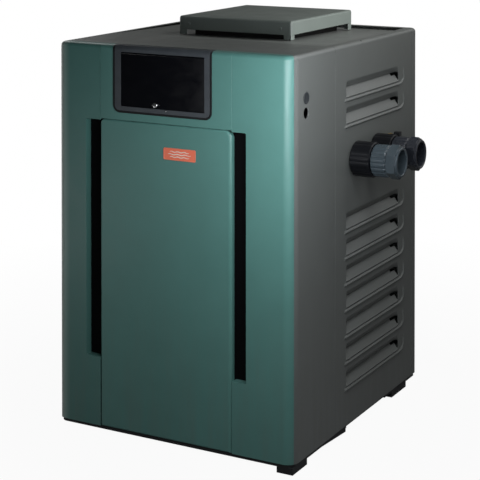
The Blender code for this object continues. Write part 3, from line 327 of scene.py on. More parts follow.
GREEN = (0.096, 0.244, 0.216)
GREY = (0.150, 0.160, 0.152)
M = {
    "green_paint": paint("green_paint", GREEN, 0.38, edge_wear_highlight_colour=(0.26, 0.34, 0.32), edge_wear_highlight_amount=0.30),
    # The left wing: a darker copy of the green as painted shade, with a pale band at its outer bend as a painted
    # highlight.
    "green_paint_left": paint("green_paint_left", tuple(0.84 * c for c in GREEN), 0.38, edge_wear_highlight_colour=(0.26, 0.34, 0.32), edge_wear_highlight_amount=0.30, painted_light_band=(-0.324 + OFF.x, -0.288 + OFF.x, (0.58, 0.63, 0.585))),
    # The header: a darker band at its left end, fading out to the right, is painted shade.
    "green_paint_header": paint("green_paint_header", GREEN, 0.38, edge_wear_highlight_colour=(0.26, 0.34, 0.32), edge_wear_highlight_amount=0.30, painted_light_band=(-0.206 + OFF.x, -0.130 + OFF.x, tuple(0.86 * c for c in GREEN))),
    "grey_paint": paint("grey_paint", GREY, 0.42, edge_wear_highlight_colour=(0.36, 0.37, 0.36), edge_wear_highlight_amount=0.30),
    "cap_paint": paint("cap_paint", (0.135, 0.158, 0.144), 0.44, edge_wear_highlight_colour=(0.34, 0.36, 0.34), edge_wear_highlight_amount=0.25),
    "black_base": plastic("black_base", (0.010, 0.010, 0.011), 0.55, 0.18, edge=(0.05, 0.05, 0.05), edge_amount=0.35),
    "bezel_plastic": plastic("bezel_plastic", (0.030, 0.035, 0.038), 0.40, 0.10, edge=(0.10, 0.11, 0.11), edge_amount=0.30),
    # The raised bead of the bezel in a lighter copy of the bezel plastic: a painted highlight.
    "bezel_bead": plastic("bezel_bead", (0.060, 0.068, 0.076), 0.34, 0.10, edge=(0.14, 0.15, 0.16), edge_amount=0.30),
    "smoked_window": smoked(),
    "badge_enamel": paint("badge_enamel", (1.0, 0.21, 0.115), 0.30, edge_wear_highlight_colour=(0.95, 0.70, 0.60), edge_wear_highlight_amount=0.2, dust=0.05, peel=0.02),
    "chrome": metal("chrome", (0.78, 0.79, 0.80), 0.14, tarnish=0.08, grain=0.02),
    "union_black": plastic("union_black", (0.0038, 0.0042, 0.0060), 0.42, 0.05, edge=(0.030, 0.034, 0.042), edge_amount=0.4, spec=0.30),
    # The pale edge colour of the water unions is a painted highlight along their rims and hex corners.
    "union_grey": plastic("union_grey", (0.050, 0.067, 0.078), 0.24, 0.05, edge=(0.36, 0.40, 0.43), edge_amount=0.8),
    # A darker copy of the union grey for the rear union: painted shade.
    "union_far": plastic("union_far", (0.024, 0.027, 0.034), 0.26, 0.05, edge=(0.30, 0.31, 0.34), edge_amount=0.8),
    "fascia_grey": plastic("fascia_grey", (0.060, 0.065, 0.070), 0.52, 0.22, scale=1400.0),
    "display_glass": display(),
    "button_rubber": plastic("button_rubber", (0.25, 0.26, 0.27), 0.62, 0.15, edge=(0.34, 0.35, 0.36)),
    "board_green": board(),
    "cable_rubber": plastic("cable_rubber", (0.009, 0.010, 0.011), 0.55, 0.12, edge=(0.03, 0.03, 0.03), spec=0.35),
    "transformer_steel": metal("transformer_steel", (0.30, 0.29, 0.28), 0.45, brushed=(0.2, 6.0, 0.2), grain=0.25, tarnish=0.3),
    "module_plastic": plastic("module_plastic", (0.014, 0.014, 0.015), 0.50, 0.15, edge=(0.05, 0.05, 0.05)),
    "header_polymer": plastic("header_polymer", (0.020, 0.021, 0.023), 0.46, 0.25, edge=(0.07, 0.07, 0.07), scale=500.0),
    "copper": metal("copper", (0.72, 0.31, 0.17), 0.34, tint=(0.30, 0.12, 0.07), tarnish=0.35),
    "brass": metal("brass", (0.62, 0.44, 0.17), 0.32, tarnish=0.30),
    "spring_steel": metal("spring_steel", (0.52, 0.52, 0.53), 0.28, tarnish=0.15),
    "galvanised": metal("galvanised", (0.40, 0.41, 0.41), 0.46, spangle=0.35, tarnish=0.25),
    "refractory": refractory(),
    "burner_steel": metal("burner_steel", (0.36, 0.35, 0.34), 0.46, tint=(0.20, 0.12, 0.08), tarnish=0.35),
    "black_iron": metal("black_iron", (0.060, 0.058, 0.057), 0.55, tarnish=0.35, grain=0.20),
    "valve_aluminium": metal("valve_aluminium", (0.52, 0.53, 0.54), 0.42, tarnish=0.18, grain=0.25),
    "knob_plastic": plastic("knob_plastic", (0.030, 0.060, 0.190), 0.38, 0.06, edge=(0.10, 0.15, 0.32)),
    "lever_black": plastic("lever_black", (0.009, 0.009, 0.011), 0.42, 0.08, edge=(0.05, 0.05, 0.05)),
    "badge_trim": plastic("badge_trim", (0.95, 0.80, 0.70), 0.40, 0.04, edge=(0.7, 0.6, 0.5)),
    "shadow_liner": plastic("shadow_liner", (0.0022, 0.0022, 0.0028), 0.85, 0.10, edge=(0.006, 0.006, 0.006), spec=0.12),
    "screw_zinc": metal("screw_zinc", (0.45, 0.46, 0.45), 0.36, tarnish=0.2),
    "led_red": plastic("led_red", (0.50, 0.02, 0.015), 0.20, 0.02, edge=(0.6, 0.1, 0.1)),
    "print_white": plastic("print_white", (0.60, 0.61, 0.60), 0.55, 0.04, edge=(0.6, 0.6, 0.6)),
    "digit_dark": plastic("digit_dark", (0.006, 0.009, 0.006), 0.35, 0.02, edge=(0.01, 0.01, 0.01)),
}


# ---------------------------------------------------------------- mesh helpers, about the cabinet's centre line
def loft(loops, closed=True):
    n = len(loops[0])
    points = [tuple(p) for loop in loops for p in loop]
    faces = [tuple(reversed(range(n)))] if closed else []
    for k in range(len(loops) - 1):
        for i in range(n):
            j = (i + 1) % n
            faces.append((k * n + i, k * n + j, (k + 1) * n + j, (k + 1) * n + i))
    if closed:
        faces.append(tuple(range((len(loops) - 1) * n, len(loops) * n)))
    return points, faces


def box(x0, x1, y0, y1, z0, z1):
    low = [(x0, y0, z0), (x1, y0, z0), (x1, y1, z0), (x0, y1, z0)]
    return loft([low, [(x, y, z1) for x, y, _ in low]])


def place(axis, u, v, a):
    if axis == "x":
        return (a, u, v)
    if axis == "y":
        return (v, a, u)
    return (u, v, a)


def prism(axis, outline, a0, a1):
    return loft([[place(axis, u, v, a0) for u, v in outline], [place(axis, u, v, a1) for u, v in outline]])


def circle(cu, cv, r, n, turn=0.0):
    return [(cu + r * math.cos(turn + 2 * math.pi * i / n), cv + r * math.sin(turn + 2 * math.pi * i / n)) for i in range(n)]


def cylinder(axis, cu, cv, r, a0, a1, n=32, turn=0.0):
    return prism(axis, circle(cu, cv, r, n, turn), a0, a1)


def stepped(axis, cu, cv, steps, n=32, turn=0.0):
    return loft([[place(axis, u, v, a) for u, v in circle(cu, cv, r, n, turn)] for a, r in steps])


def ring(axis, cu, cv, steps, n=48):
    """A turned piece with a bore: a closed outline of (position, radius) spun about the axis."""
    points, faces = [], []
    k = len(steps)
    for i in range(n):
        a = 2 * math.pi * i / n
        for pos, r in steps:
            points.append(place(axis, cu + r * math.cos(a), cv + r * math.sin(a), pos))
    for i in range(n):
        j = (i + 1) % n
        for s in range(k):
            t = (s + 1) % k
            faces.append((i * k + s, i * k + t, j * k + t, j * k + s))
    return points, faces


def rounded(u0, u1, v0, v1, radii, steps=8):
    out = []
    spots = ((u0, v0, math.pi), (u1, v0, 1.5 * math.pi), (u1, v1, 0.0), (u0, v1, 0.5 * math.pi))
    for (u, v, start), r in zip(spots, radii):
        cu = u + r if u == u0 else u - r
        cv = v + r if v == v0 else v - r
        for k in range(steps + 1):
            a = start + 0.5 * math.pi * k / steps
            out.append((cu + r * math.cos(a), cv + r * math.sin(a)))
    return out


def raw(name, solid, recalc=True):
    points, faces = solid
    mesh = bpy.data.meshes.new(name)
    mesh.from_pydata([tuple(p) for p in points], [], faces)
    work = bmesh.new()
    work.from_mesh(mesh)
    bmesh.ops.remove_doubles(work, verts=work.verts, dist=1e-6)
    if recalc:
        bmesh.ops.recalc_face_normals(work, faces=work.faces)
    work.to_mesh(mesh)
    work.free()
    obj = bpy.data.objects.new(name, mesh)
    bpy.context.scene.collection.objects.link(obj)
    return obj


def baked(obj):
    """The object's mesh with its modifiers applied."""
    bpy.context.view_layer.update()
    graph = bpy.context.evaluated_depsgraph_get()
    mesh = bpy.data.meshes.new_from_object(obj.evaluated_get(graph))
    obj.modifiers.clear()
    old = obj.data
    obj.data = mesh
    bpy.data.meshes.remove(old)
    return obj


def combine(obj, solids, operation):
    for solid in solids:
        other = raw("tool", solid)
        change = obj.modifiers.new("change", "BOOLEAN")
        change.operation = operation
        change.solver = "EXACT"
        change.object = other
        baked(obj)
        tool = other.data
        bpy.data.objects.remove(other)
        bpy.data.meshes.remove(tool)
    return obj


def cut(obj, *solids):
    return combine(obj, solids, "DIFFERENCE")


def add(obj, *solids):
    return combine(obj, solids, "UNION")


def keep(obj, *solids):
    return combine(obj, solids, "INTERSECT")


def merge(name, solids):
    """Several loose solids as one mesh."""
    points, faces = [], []
    for ps, fs in solids:
        k = len(points)
        points += list(ps)
        faces += [tuple(i + k for i in f) for f in fs]
    return raw(name, (points, faces))


def piece(obj, name, material, body, nodes=(), slot=None, bevel=0.0, segments=2, smooth=30.0, limit=35.0):
    """Moves a mesh from the centre-line frame to the row frame, and gives it its finish and its body."""
    obj.name = name
    obj.data.name = name
    obj.data.transform(Matrix.Translation(OFF))
    obj.data.materials.clear()
    obj.data.materials.append(M[material])
    for p in obj.data.polygons:
        p.use_smooth = True
        p.material_index = 0
    obj.data.set_sharp_from_angle(angle=math.radians(smooth))
    if bevel:
        b = obj.modifiers.new("soft edges", "BEVEL")
        b.width = bevel
        b.segments = segments
        b.limit_method = "ANGLE"
        b.angle_limit = math.radians(limit)
        b.harden_normals = True
        b.use_clamp_overlap = True
        b.miter_outer = "MITER_ARC"
    w = obj.modifiers.new("flat faces", "WEIGHTED_NORMAL")
    w.keep_sharp = True
    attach(obj, body)
    if nodes:
        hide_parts(*nodes)
        slot = slot or SLOT_OF[nodes[0]]
    return obj


# ---------------------------------------------------------------- cabinet skin
def cabinet_loops(off, z0, corner=10, arc=7):
    loops = []
    levels = [(z0, 0.0), (TOP - R_TOP, 0.0)]
    for k in range(1, arc + 1):
        a = 0.5 * math.pi * k / arc
        levels.append((TOP - R_TOP + (R_TOP + off) * math.sin(a), (R_TOP + off) * (1 - math.cos(a))))
    for z, inset in levels:
        d = off - inset
        radii = [max(r + d, 0.0015) for r in (R_FRONT, R_RIGHT, R_REAR, R_REAR)]
        outline = rounded(-HALF_W - d, HALF_W + d, -HALF_D - d, HALF_D + d, radii, corner)
        loops.append([(x, y, z) for x, y in outline])
    return loops


def shell_piece(name, region, off=0.0, skin=SKIN):
    obj = raw(name, loft(cabinet_loops(off, BOTTOM)))
    cut(obj, loft(cabinet_loops(off - skin, BOTTOM - 0.01)))
    keep(obj, region)
    return obj


def plan(outline, z0=0.0, z1=1.1):
    """A region over a plan outline."""
    return loft([[(x, y, z0) for x, y in outline], [(x, y, z1) for x, y in outline]])


FACE = -HALF_D
door_l, door_h = local("access_door")
wl_lo, wl_hi = local("left_wing_panel")
wr_lo, wr_hi = local("right_wing_panel")
GAP = 0.0005
SLOT_Z0, SLOT_Z1, SLOT_W, SLOT_DEPTH = 0.190, 0.770, 0.0415, 0.021
DOOR_DEPTH = door_h.y - door_l.y
Y_SEAM = wl_hi.y
MITRE = 0.0004
TURN = 0.0080                                        # how far past the half-way line of the bend the green reaches


def wings():
    edge_l, edge_r = wl_hi.x, wr_lo.x
    for name, side, edge in (("left_wing_panel", -1, edge_l), ("right_wing_panel", 1, edge_r)):
        slot_out = edge_l + GAP - SLOT_W if side < 0 else edge_r - GAP + SLOT_W - 0.0035
        xs = (-0.4, edge) if side < 0 else (edge, 0.4)
        region = box(*xs, -0.4, Y_SEAM, 0.0, 1.1)
        if side > 0:
            # The green sheet stops half way round the bend; the grey cowl takes over there.
            reach = Y_SEAM + HALF_D
            turn = TURN - MITRE
            region = plan([(edge, -0.4), (HALF_W + 0.4 - HALF_D + turn, -0.4), (HALF_W - reach + turn, Y_SEAM), (edge, Y_SEAM)])
        obj = shell_piece(name, region)
        span = (slot_out - SKIN, edge) if side < 0 else (edge, slot_out + SKIN)
        outer = (slot_out - SKIN, slot_out) if side < 0 else (slot_out, slot_out + SKIN)
        depth = FACE + SLOT_DEPTH
        add(obj, box(*outer, FACE + 0.0006, depth, SLOT_Z0 - SKIN, SLOT_Z1 + SKIN))
        add(obj, box(*span, FACE + 0.0006, depth, SLOT_Z0 - SKIN, SLOT_Z0), box(*span, FACE + 0.0006, depth, SLOT_Z1, SLOT_Z1 + SKIN))
        # The opening has rounded corners on its closed side.
        a, b = (slot_out, edge + 0.02) if side < 0 else (edge - 0.02, slot_out)
        radii = (0.003, 0.0005, 0.0005, 0.003) if side > 0 else (0.003, 0.003, 0.003, 0.003)
        outline = rounded(SLOT_Z0, SLOT_Z1, a, b, (0.004, 0.004, 0.004, 0.004), 4)
        cut(obj, prism("y", outline, -0.4, depth + 0.01))
        piece(obj, name + "_skin", "green_paint_left" if side < 0 else "green_paint", "cabinet", [name], slot="green_paint", bevel=0.0014, segments=3)
        # Painted shade: a black sheet behind the opening stands in for the shade inside the slot and hides the works.
        ends = (slot_out - 0.0040, edge + 0.0080) if side < 0 else (edge - 0.0080, slot_out + 0.0040)
        obj = raw("baffle", box(*ends, depth + 0.0003, depth + 0.0015, SLOT_Z0 - 0.004, SLOT_Z1 + 0.003))
        if side < 0:
            # It reaches down behind the joint with the door, so that nothing bright shows through there.
            add(obj, box(edge - 0.0220, ends[1], depth + 0.0003, depth + 0.0015, 0.045, SLOT_Z0 - 0.003))
        piece(obj, name + "_baffle", "shadow_liner", "cabinet", slot="black_base", bevel=0.0)

    lo, hi = local("front_header_panel")
    obj = shell_piece("front_header_panel", box(lo.x, hi.x, -0.4, Y_SEAM, lo.z, 1.1))
    blo, bhi = local("control_bezel")
    cut(obj, box(blo.x + 0.0100, bhi.x - 0.0100, -0.4, -0.345, blo.z + 0.0075, 0.9425))
    piece(obj, "front_header_skin", "green_paint_header", "cabinet", ["front_header_panel"], slot="green_paint", bevel=0.0010, segments=3)


def door():
    z0, z1, x0, x1 = door_l.z, door_h.z, door_l.x, door_h.x

    def outline(inset, y, r_scale=1.0):
        radii = (0.002, 0.012, 0.020, 0.002)
        tight, wide = 0.75 * inset, 1.65 * inset
        pts = rounded(z0 + tight, z1 - tight, x0 + tight, x1 - wide, [max(r - inset, 0.0006) for r in radii], 8)
        return [(x, y, z) for z, x in pts]

    # The bend along the right edge is wider than the others.
    bend = 0.0060
    loops = [outline(bend + 0.001, FACE + 0.0016)]
    loops += [outline(SKIN, FACE + bend + 0.001), outline(SKIN, FACE + DOOR_DEPTH), outline(0.0, FACE + DOOR_DEPTH), outline(0.0, FACE + bend)]
    for k in range(1, 7):
        a = 0.5 * math.pi * k / 6
        loops.append(outline(bend * (1 - math.cos(a)), FACE + bend * (1 - math.sin(a))))
    obj = raw("access_door", loft(loops))
    piece(obj, "access_door_skin", "green_paint", "access_door", ["access_door"], bevel=0.0)

    lo, hi = local("badge_plate")
    z0, z1, x0, x1 = lo.z, hi.z, lo.x, hi.x
    loops = []
    for inset, y in ((0.0, hi.y), (0.0, lo.y + 0.0006), (0.0002, lo.y + 0.0002), (0.0006, lo.y), (0.0022, lo.y), (0.0026, lo.y + 0.0004)):
        loops.append([(x, y, z) for z, x in rounded(z0 + inset, z1 - inset, x0 + inset, x1 - inset, (max(0.0035 - inset, 0.0006),) * 4, 5)])
    obj = raw("badge", loft(loops))
    piece(obj, "badge_face", "badge_enamel", "access_door", ["badge_plate"], bevel=0.0)
    # A plain raised motif: three soft wave lines in a pale enamel.
    solids = []
    for row in range(3):
        zc = 0.5 * (z0 + z1) + (row - 1) * 0.0062
        half = 0.5 * (x1 - x0) * (0.60 if row != 1 else 0.72)
        top, bottom = [], []
        steps = 40
        for i in range(steps + 1):
            x = 0.5 * (x0 + x1) - half + 2 * half * i / steps
            z = zc + 0.0009 * math.sin(2 * math.pi * i / steps * 3)
            w = 0.00115 * math.sin(math.pi * min(1.0, max(0.0, (i + 0.6) / (steps + 1.2)))) ** 0.35
            top.append((z + w, x))
            bottom.append((z - w, x))
        solids.append(prism("y", top + bottom[::-1], lo.y - 0.0001, lo.y + 0.0007))
    obj = merge("badge_lines", solids)
    piece(obj, "badge_waves", "badge_trim", "access_door", slot="badge_enamel", bevel=0.0002, segments=1)


# ---------------------------------------------------------------- side panels with pressed louvres
LIP_Y0, LIP_Y1 = -0.0915, 0.2785                       # the bead under each louvre
OPEN_Y0, OPEN_Y1 = -0.0815, 0.2450                   # the pressed pocket over the bead
LIP_RY, LIP_RZ = 0.030, 0.016                         # its turned-up rear end
BEAD_W, BEAD_H = 0.0045, 0.0034
PROUD = 0.0022                                       # how far the foot of the blade stands out
SLIT = 0.0320                                        # height of the slit over the bead
PITCH, LIP_Z, ROWS = 0.0641, 0.816, (0, 1, 5, 6, 7, 8, 9, 10, 11)


def smooth_step(t):
    t = min(1.0, max(0.0, t))
    return t * t * (3 - 2 * t)


def row_height(z):
    """Height over the bead of the louvre that a level belongs to, or None between louvres."""
    for row in ROWS:
        t = z - (LIP_Z - PITCH * row)
        if -0.006 <= t <= 0.0500:
            return t
    return None


def relief(y, z):
    """How far the skin stands out (positive) or in (negative) at a point of a side panel.

    Over each bead a blade starts proud of the skin and leans in as it rises; past the slit, the skin comes back out
    and faces down.
    """
    t = row_height(z)
    if t is None:
        return 0.0
    if y < LIP_Y1 - LIP_RY:
        d = abs(t)
    elif t < LIP_RZ:
        u, v = (y - LIP_Y1 + LIP_RY) / LIP_RY, (t - LIP_RZ) / LIP_RZ
        far = max(1e-6, math.hypot(u, v))
        d = abs(far - 1.0) * far / max(1e-6, math.hypot(u / LIP_RY, v / LIP_RZ))
    else:
        d = abs(y - LIP_Y1)
    out = 0.0
    if d < BEAD_W:
        ends = smooth_step((y - LIP_Y0) / 0.005) * (1.0 - smooth_step((t - 0.022) / 0.022))
        out = BEAD_H * math.cos(0.5 * math.pi * d / BEAD_W) ** 1.2 * ends
    depth = 0.0
    if 0.0050 < t <= 0.0092:
        depth = -PROUD * (t - 0.0050) / 0.0042
    elif 0.0092 < t < SLIT:
        depth = -PROUD + (0.0140 + PROUD) * (t - 0.0092) / (SLIT - 0.0092)
    elif SLIT <= t < 0.0480:
        f = (0.0480 - t) / (0.0480 - SLIT)
        depth = 0.0095 * (0.35 * f + 0.65 * f * f * (3 - 2 * f))
    if depth:
        back = max(0.0, t - SLIT) * 0.9
        depth *= smooth_step((y - OPEN_Y0 - 0.35 * back) / 0.0022) * smooth_step((OPEN_Y1 - back - y) / 0.0060)
    return out - depth


def side_panel(name, side):
    lo, hi = local(name)
    y0, y1 = lo.y, hi.y
    flange = 0.0205
    ys = [y0, y0 + 0.0003, y0 + 0.0009, y0 + 0.002, y0 + 0.012, y0 + 0.030, LIP_Y0 - 0.001]
    ys += [LIP_Y0 + 0.001 * k for k in range(0, 7)] + [OPEN_Y0 - 0.0012, OPEN_Y0]
    ys += [OPEN_Y0 + 0.0022 * k / 4 for k in range(1, 5)] + [OPEN_Y0 + 0.005, OPEN_Y0 + 0.008]
    ys += [OPEN_Y0 + 0.012 + (LIP_Y1 - LIP_RY - 0.006 - OPEN_Y0 - 0.012) * k / 12 for k in range(0, 13)]
    ys += [LIP_Y1 - LIP_RY + 0.001 * k for k in range(1, int(1000 * (LIP_RY + BEAD_W)) + 2)] + [OPEN_Y1 - 0.0055, OPEN_Y1]
    ys += [LIP_Y1 + BEAD_W + 0.002, LIP_Y1 + 0.02, y1 - 0.02, y1 - 0.002, y1 - 0.0009, y1 - 0.0003, y1]
    ys = sorted(set(round(v, 5) for v in ys))
    low = [(BOTTOM, 0.0009), (BOTTOM + 0.0003, 0.0004), (BOTTOM + 0.0012, 0.0), (BOTTOM + 0.010, 0.0)]
    zs = []
    for row in ROWS:
        z0 = LIP_Z - PITCH * row
        zs += [z0 + 0.00063 * k for k in range(-6, 7)]
        zs += [z0 + v for v in (-0.0046, 0.0050, 0.0070, 0.0085, 0.0092, 0.0098, 0.0120, 0.0150, 0.0180, 0.0210, 0.0230, 0.0245, 0.0260, 0.0275, 0.0290, 0.0304, SLIT - 0.00005, SLIT + 0.00005, 0.0338, 0.0356, 0.0374, 0.0392, 0.0410, 0.0428, 0.0446, 0.0464, 0.0480, 0.0494)]
    zs += [0.045, 0.065, 0.60, 0.64, 0.668, 0.70, 0.73, 0.87, 0.90, 0.925, TOP - R_TOP]
    zs = sorted(set(round(z, 6) for z in zs if z > BOTTOM + 0.011))
    grid = []
    for y in ys:
        hem = 0.0
        edge = min(y - y0, y1 - y)
        if edge < 0.002:
            hem = 0.0012 * (1.0 - math.sqrt(max(0.0, 1.0 - (1.0 - edge / 0.002) ** 2)))
        line = []
        for z, inset in low:
            line.append((HALF_W - inset - hem, y, z))
        for z in zs:
            line.append((HALF_W + relief(y, z) - hem, y, z))
        for k in range(1, 9):
            a = 0.5 * math.pi * k / 8
            r = R_TOP - hem
            line.append((HALF_W - R_TOP + r * math.cos(a), y, TOP - R_TOP + r * math.sin(a)))
        line.append((HALF_W - flange, y, TOP - hem))
        grid.append(line)
    n = len(grid[0])
    points = [(side * x, y, z) for line in grid for x, y, z in line]
    faces = []
    for i in range(len(grid) - 1):
        ym = 0.5 * (ys[i] + ys[i + 1])
        for j in range(n - 1):
            zm = 0.5 * (grid[i][j][2] + grid[i][j + 1][2])
            t = row_height(zm) if zm < TOP - R_TOP else None
            if t is not None and OPEN_Y0 + 0.002 < ym < OPEN_Y1:
                # The slit runs along the top of the blade; at the rear the blade is cut free, and there is no end wall.
                free = 0.0110 < t < SLIT and t - 0.0110 > 1.15 * (OPEN_Y1 - 0.0055 - ym)
                if free or (abs(t - SLIT) < 0.0001 and ym < OPEN_Y1 - 0.0055):
                    continue
            quad = (i * n + j, (i + 1) * n + j, (i + 1) * n + j + 1, i * n + j + 1)
            faces.append(quad if side > 0 else quad[::-1])
    obj = raw(name, (points, faces), recalc=False)
    thick = obj.modifiers.new("sheet", "SOLIDIFY")
    thick.thickness = 0.0011
    thick.offset = -1.0
    thick.use_even_offset = False
    baked(obj)
    if side > 0:
        for node in ("inlet_union_body", "outlet_union_body"):
            a, b = local(node)
            cut(obj, cylinder("x", 0.5 * (a.y + b.y), 0.5 * (a.z + b.z), 0.0300, 0.30, 0.35, 40))
        a, b = local("relief_valve_body")
        cut(obj, cylinder("x", 0.5 * (a.y + b.y), 0.655, 0.0165, 0.30, 0.35, 32))
        cut(obj, box(0.318, 0.34, 0.013, 0.019, TOP - 0.0035, TOP + 0.01))
    piece(obj, name + "_skin", "grey_paint", "cabinet", [name], bevel=0.0, smooth=38.0)


def cowl():
    lo, hi = local("front_cowl")
    reach, turn = lo.y + HALF_D, TURN + MITRE
    region = plan([(-0.4, lo.y), (HALF_W - reach + turn, lo.y), (HALF_W + 0.4 - HALF_D + turn, -0.4), (0.42, -0.4), (0.42, hi.y), (-0.4, hi.y)])
    obj = shell_piece("front_cowl", region)
    klo, khi = local("knockout_plug")
    ky, kz = 0.5 * (klo.y + khi.y), 0.5 * (klo.z + khi.z)
    cut(
        obj,
        cylinder("x", ky, kz, 0.0128, 0.30, 0.35, 40),
        cylinder("x", ky, kz - 0.035, 0.0128, 0.30, 0.35, 40),
        cylinder("x", -0.2750, 0.140, 0.0160, -0.35, -0.30, 32),
    )
    piece(obj, "front_cowl_skin", "grey_paint", "cabinet", ["front_cowl"], bevel=0.0009, segments=3)
    x = HALF_W
    obj = raw("plug", stepped("x", ky, kz, [(x - 0.0050, 0.0108), (x + 0.0004, 0.0122), (x + 0.0004, 0.0140), (x + 0.0010, 0.0142), (x + 0.0017, 0.0136), (x + 0.0019, 0.0118), (x + 0.0008, 0.0098), (x + 0.0006, 0.0060)], 48))
    piece(obj, "knockout_cap", "bezel_plastic", "cabinet", ["knockout_plug"], bevel=0.0)

    obj = shell_piece("rear_panel", box(-0.4, 0.4, local("rear_panel")[0].y, 0.4, 0.0, 1.1))
    # Shallow stiffening swages pressed into the back.
    swages = []
    for z in (0.20, 0.36, 0.52, 0.68):
        for k, s in ((0, 1), ):
            loops = []
            for inset, y in ((0.0, HALF_D - 0.0008), (0.002, HALF_D + 0.0012), (0.004, HALF_D + 0.0016)):
                loops.append([(px, y, pz) for pz, px in rounded(z - 0.012 + inset, z + 0.012 - inset, -0.235 + inset, 0.235 - inset, (0.0119 - inset,) * 4, 6)])
            swages.append(loft(loops))
    add(obj, *swages)
    piece(obj, "rear_panel_skin", "grey_paint", "cabinet", ["rear_panel"], bevel=0.0009, segments=3)


def deck_and_cap():
    lo, hi = local("rear_deck")
    z0, z1 = TOP - 0.0008, lo.z + SKIN
    clo, chi = local("vent_cap")
    y0, y1 = lo.y, hi.y
    section = [(y0, z0 - SKIN), (y1, z1 - SKIN), (y1, z1), (y0, z0)]
    obj = raw("deck", loft([[(x, y, z) for y, z in section] for x in (lo.x, hi.x)]))
    cut(obj, box(clo.x + 0.0290, chi.x - 0.0290, clo.y + 0.0290, chi.y - 0.0290, 0.90, 1.0))
    piece(obj, "rear_deck_skin", "grey_paint", "cabinet", ["rear_deck"], bevel=0.0007, segments=3)

    x0, x1, ya, yb, top = clo.x, chi.x, clo.y, chi.y, chi.z
    skirt = 0.9665
    cx, cy = 0.5 * (x0 + x1), 0.5 * (ya + yb)

    def outline(d, z, r=(0.005, 0.005, 0.005, 0.005)):
        return [(x, y, z) for x, y in rounded(x0 + d, x1 - d, ya + d, yb - d, [max(q - d, 0.002) for q in r], 7)]

    loops = [outline(0.0030, skirt + 0.0035), outline(0.0030, skirt), outline(0.0022, skirt - 0.0006), outline(0.0006, skirt - 0.0004), outline(0.0, skirt + 0.0006)]
    edge = 0.0060
    base = top - 0.0028
    loops.append(outline(0.0, base - edge))
    for k in range(1, 8):
        a = 0.5 * math.pi * k / 7
        loops.append(outline(edge * (1 - math.cos(a)), base - edge * (1 - math.sin(a))))
    for d, z in ((0.012, base + 0.0006), (0.030, base + 0.0013), (0.060, base + 0.0021), (0.110, top)):
        loops.append(outline(d, z, (0.010, 0.010, 0.010, 0.010)))
    inner = [outline(0.110, top - 0.0025, (0.010, 0.010, 0.010, 0.010)), outline(0.0090, base - 0.0018), outline(0.0030, base - edge)]
    loops = inner + loops
    obj = raw("cap", loft(loops, closed=False))
    # Close the crown above and below.
    work = bmesh.new()
    work.from_mesh(obj.data)
    bmesh.ops.holes_fill(work, edges=[e for e in work.edges if e.is_boundary], sides=0)
    bmesh.ops.recalc_face_normals(work, faces=work.faces)
    work.to_mesh(obj.data)
    work.free()
    legs = []
    for x, y, foot in ((x1, ya, 0.9538), (x0, ya, 0.9538), (x1, yb, 0.9486), (x0, yb, 0.9486)):
        dx = -1 if x == x1 else 1
        dy = 1 if y == ya else -1
        xs = sorted((x + dx * 0.0012, x + dx * 0.0220))
        ys = sorted((y + dy * 0.0012, y + dy * 0.0036))
        legs.append(box(*xs, *ys, foot, base - 0.0060))
        xs = sorted((x + dx * 0.0012, x + dx * 0.0036))
        ys = sorted((y + dy * 0.0012, y + dy * 0.0200))
        legs.append(box(*xs, *ys, foot, base - 0.0060))
    piece(obj, "vent_cap_lid", "cap_paint", "cabinet", ["vent_cap"], bevel=0.0)
    obj = merge("cap_legs", legs)
    piece(obj, "vent_cap_brackets", "cap_paint", "cabinet", slot="cap_paint", bevel=0.0006)
    # Dome-head screws that hold the cap to its brackets.
    screws = []
    for y in (ya - 0.0002, yb + 0.0002):
        s = -1 if y < 0 else 1
        for x in (x0 + 0.030, x1 - 0.030):
            screws.append(stepped("y", 0.5 * (skirt + base) - 0.002, x, [(y, 0.0040), (y + s * 0.0008, 0.0038), (y + s * 0.0016, 0.0028), (y + s * 0.0020, 0.0012)], 20))
    obj = merge("cap_screws", screws)
    piece(obj, "vent_cap_screws", "cap_paint", "cabinet", slot="cap_paint")


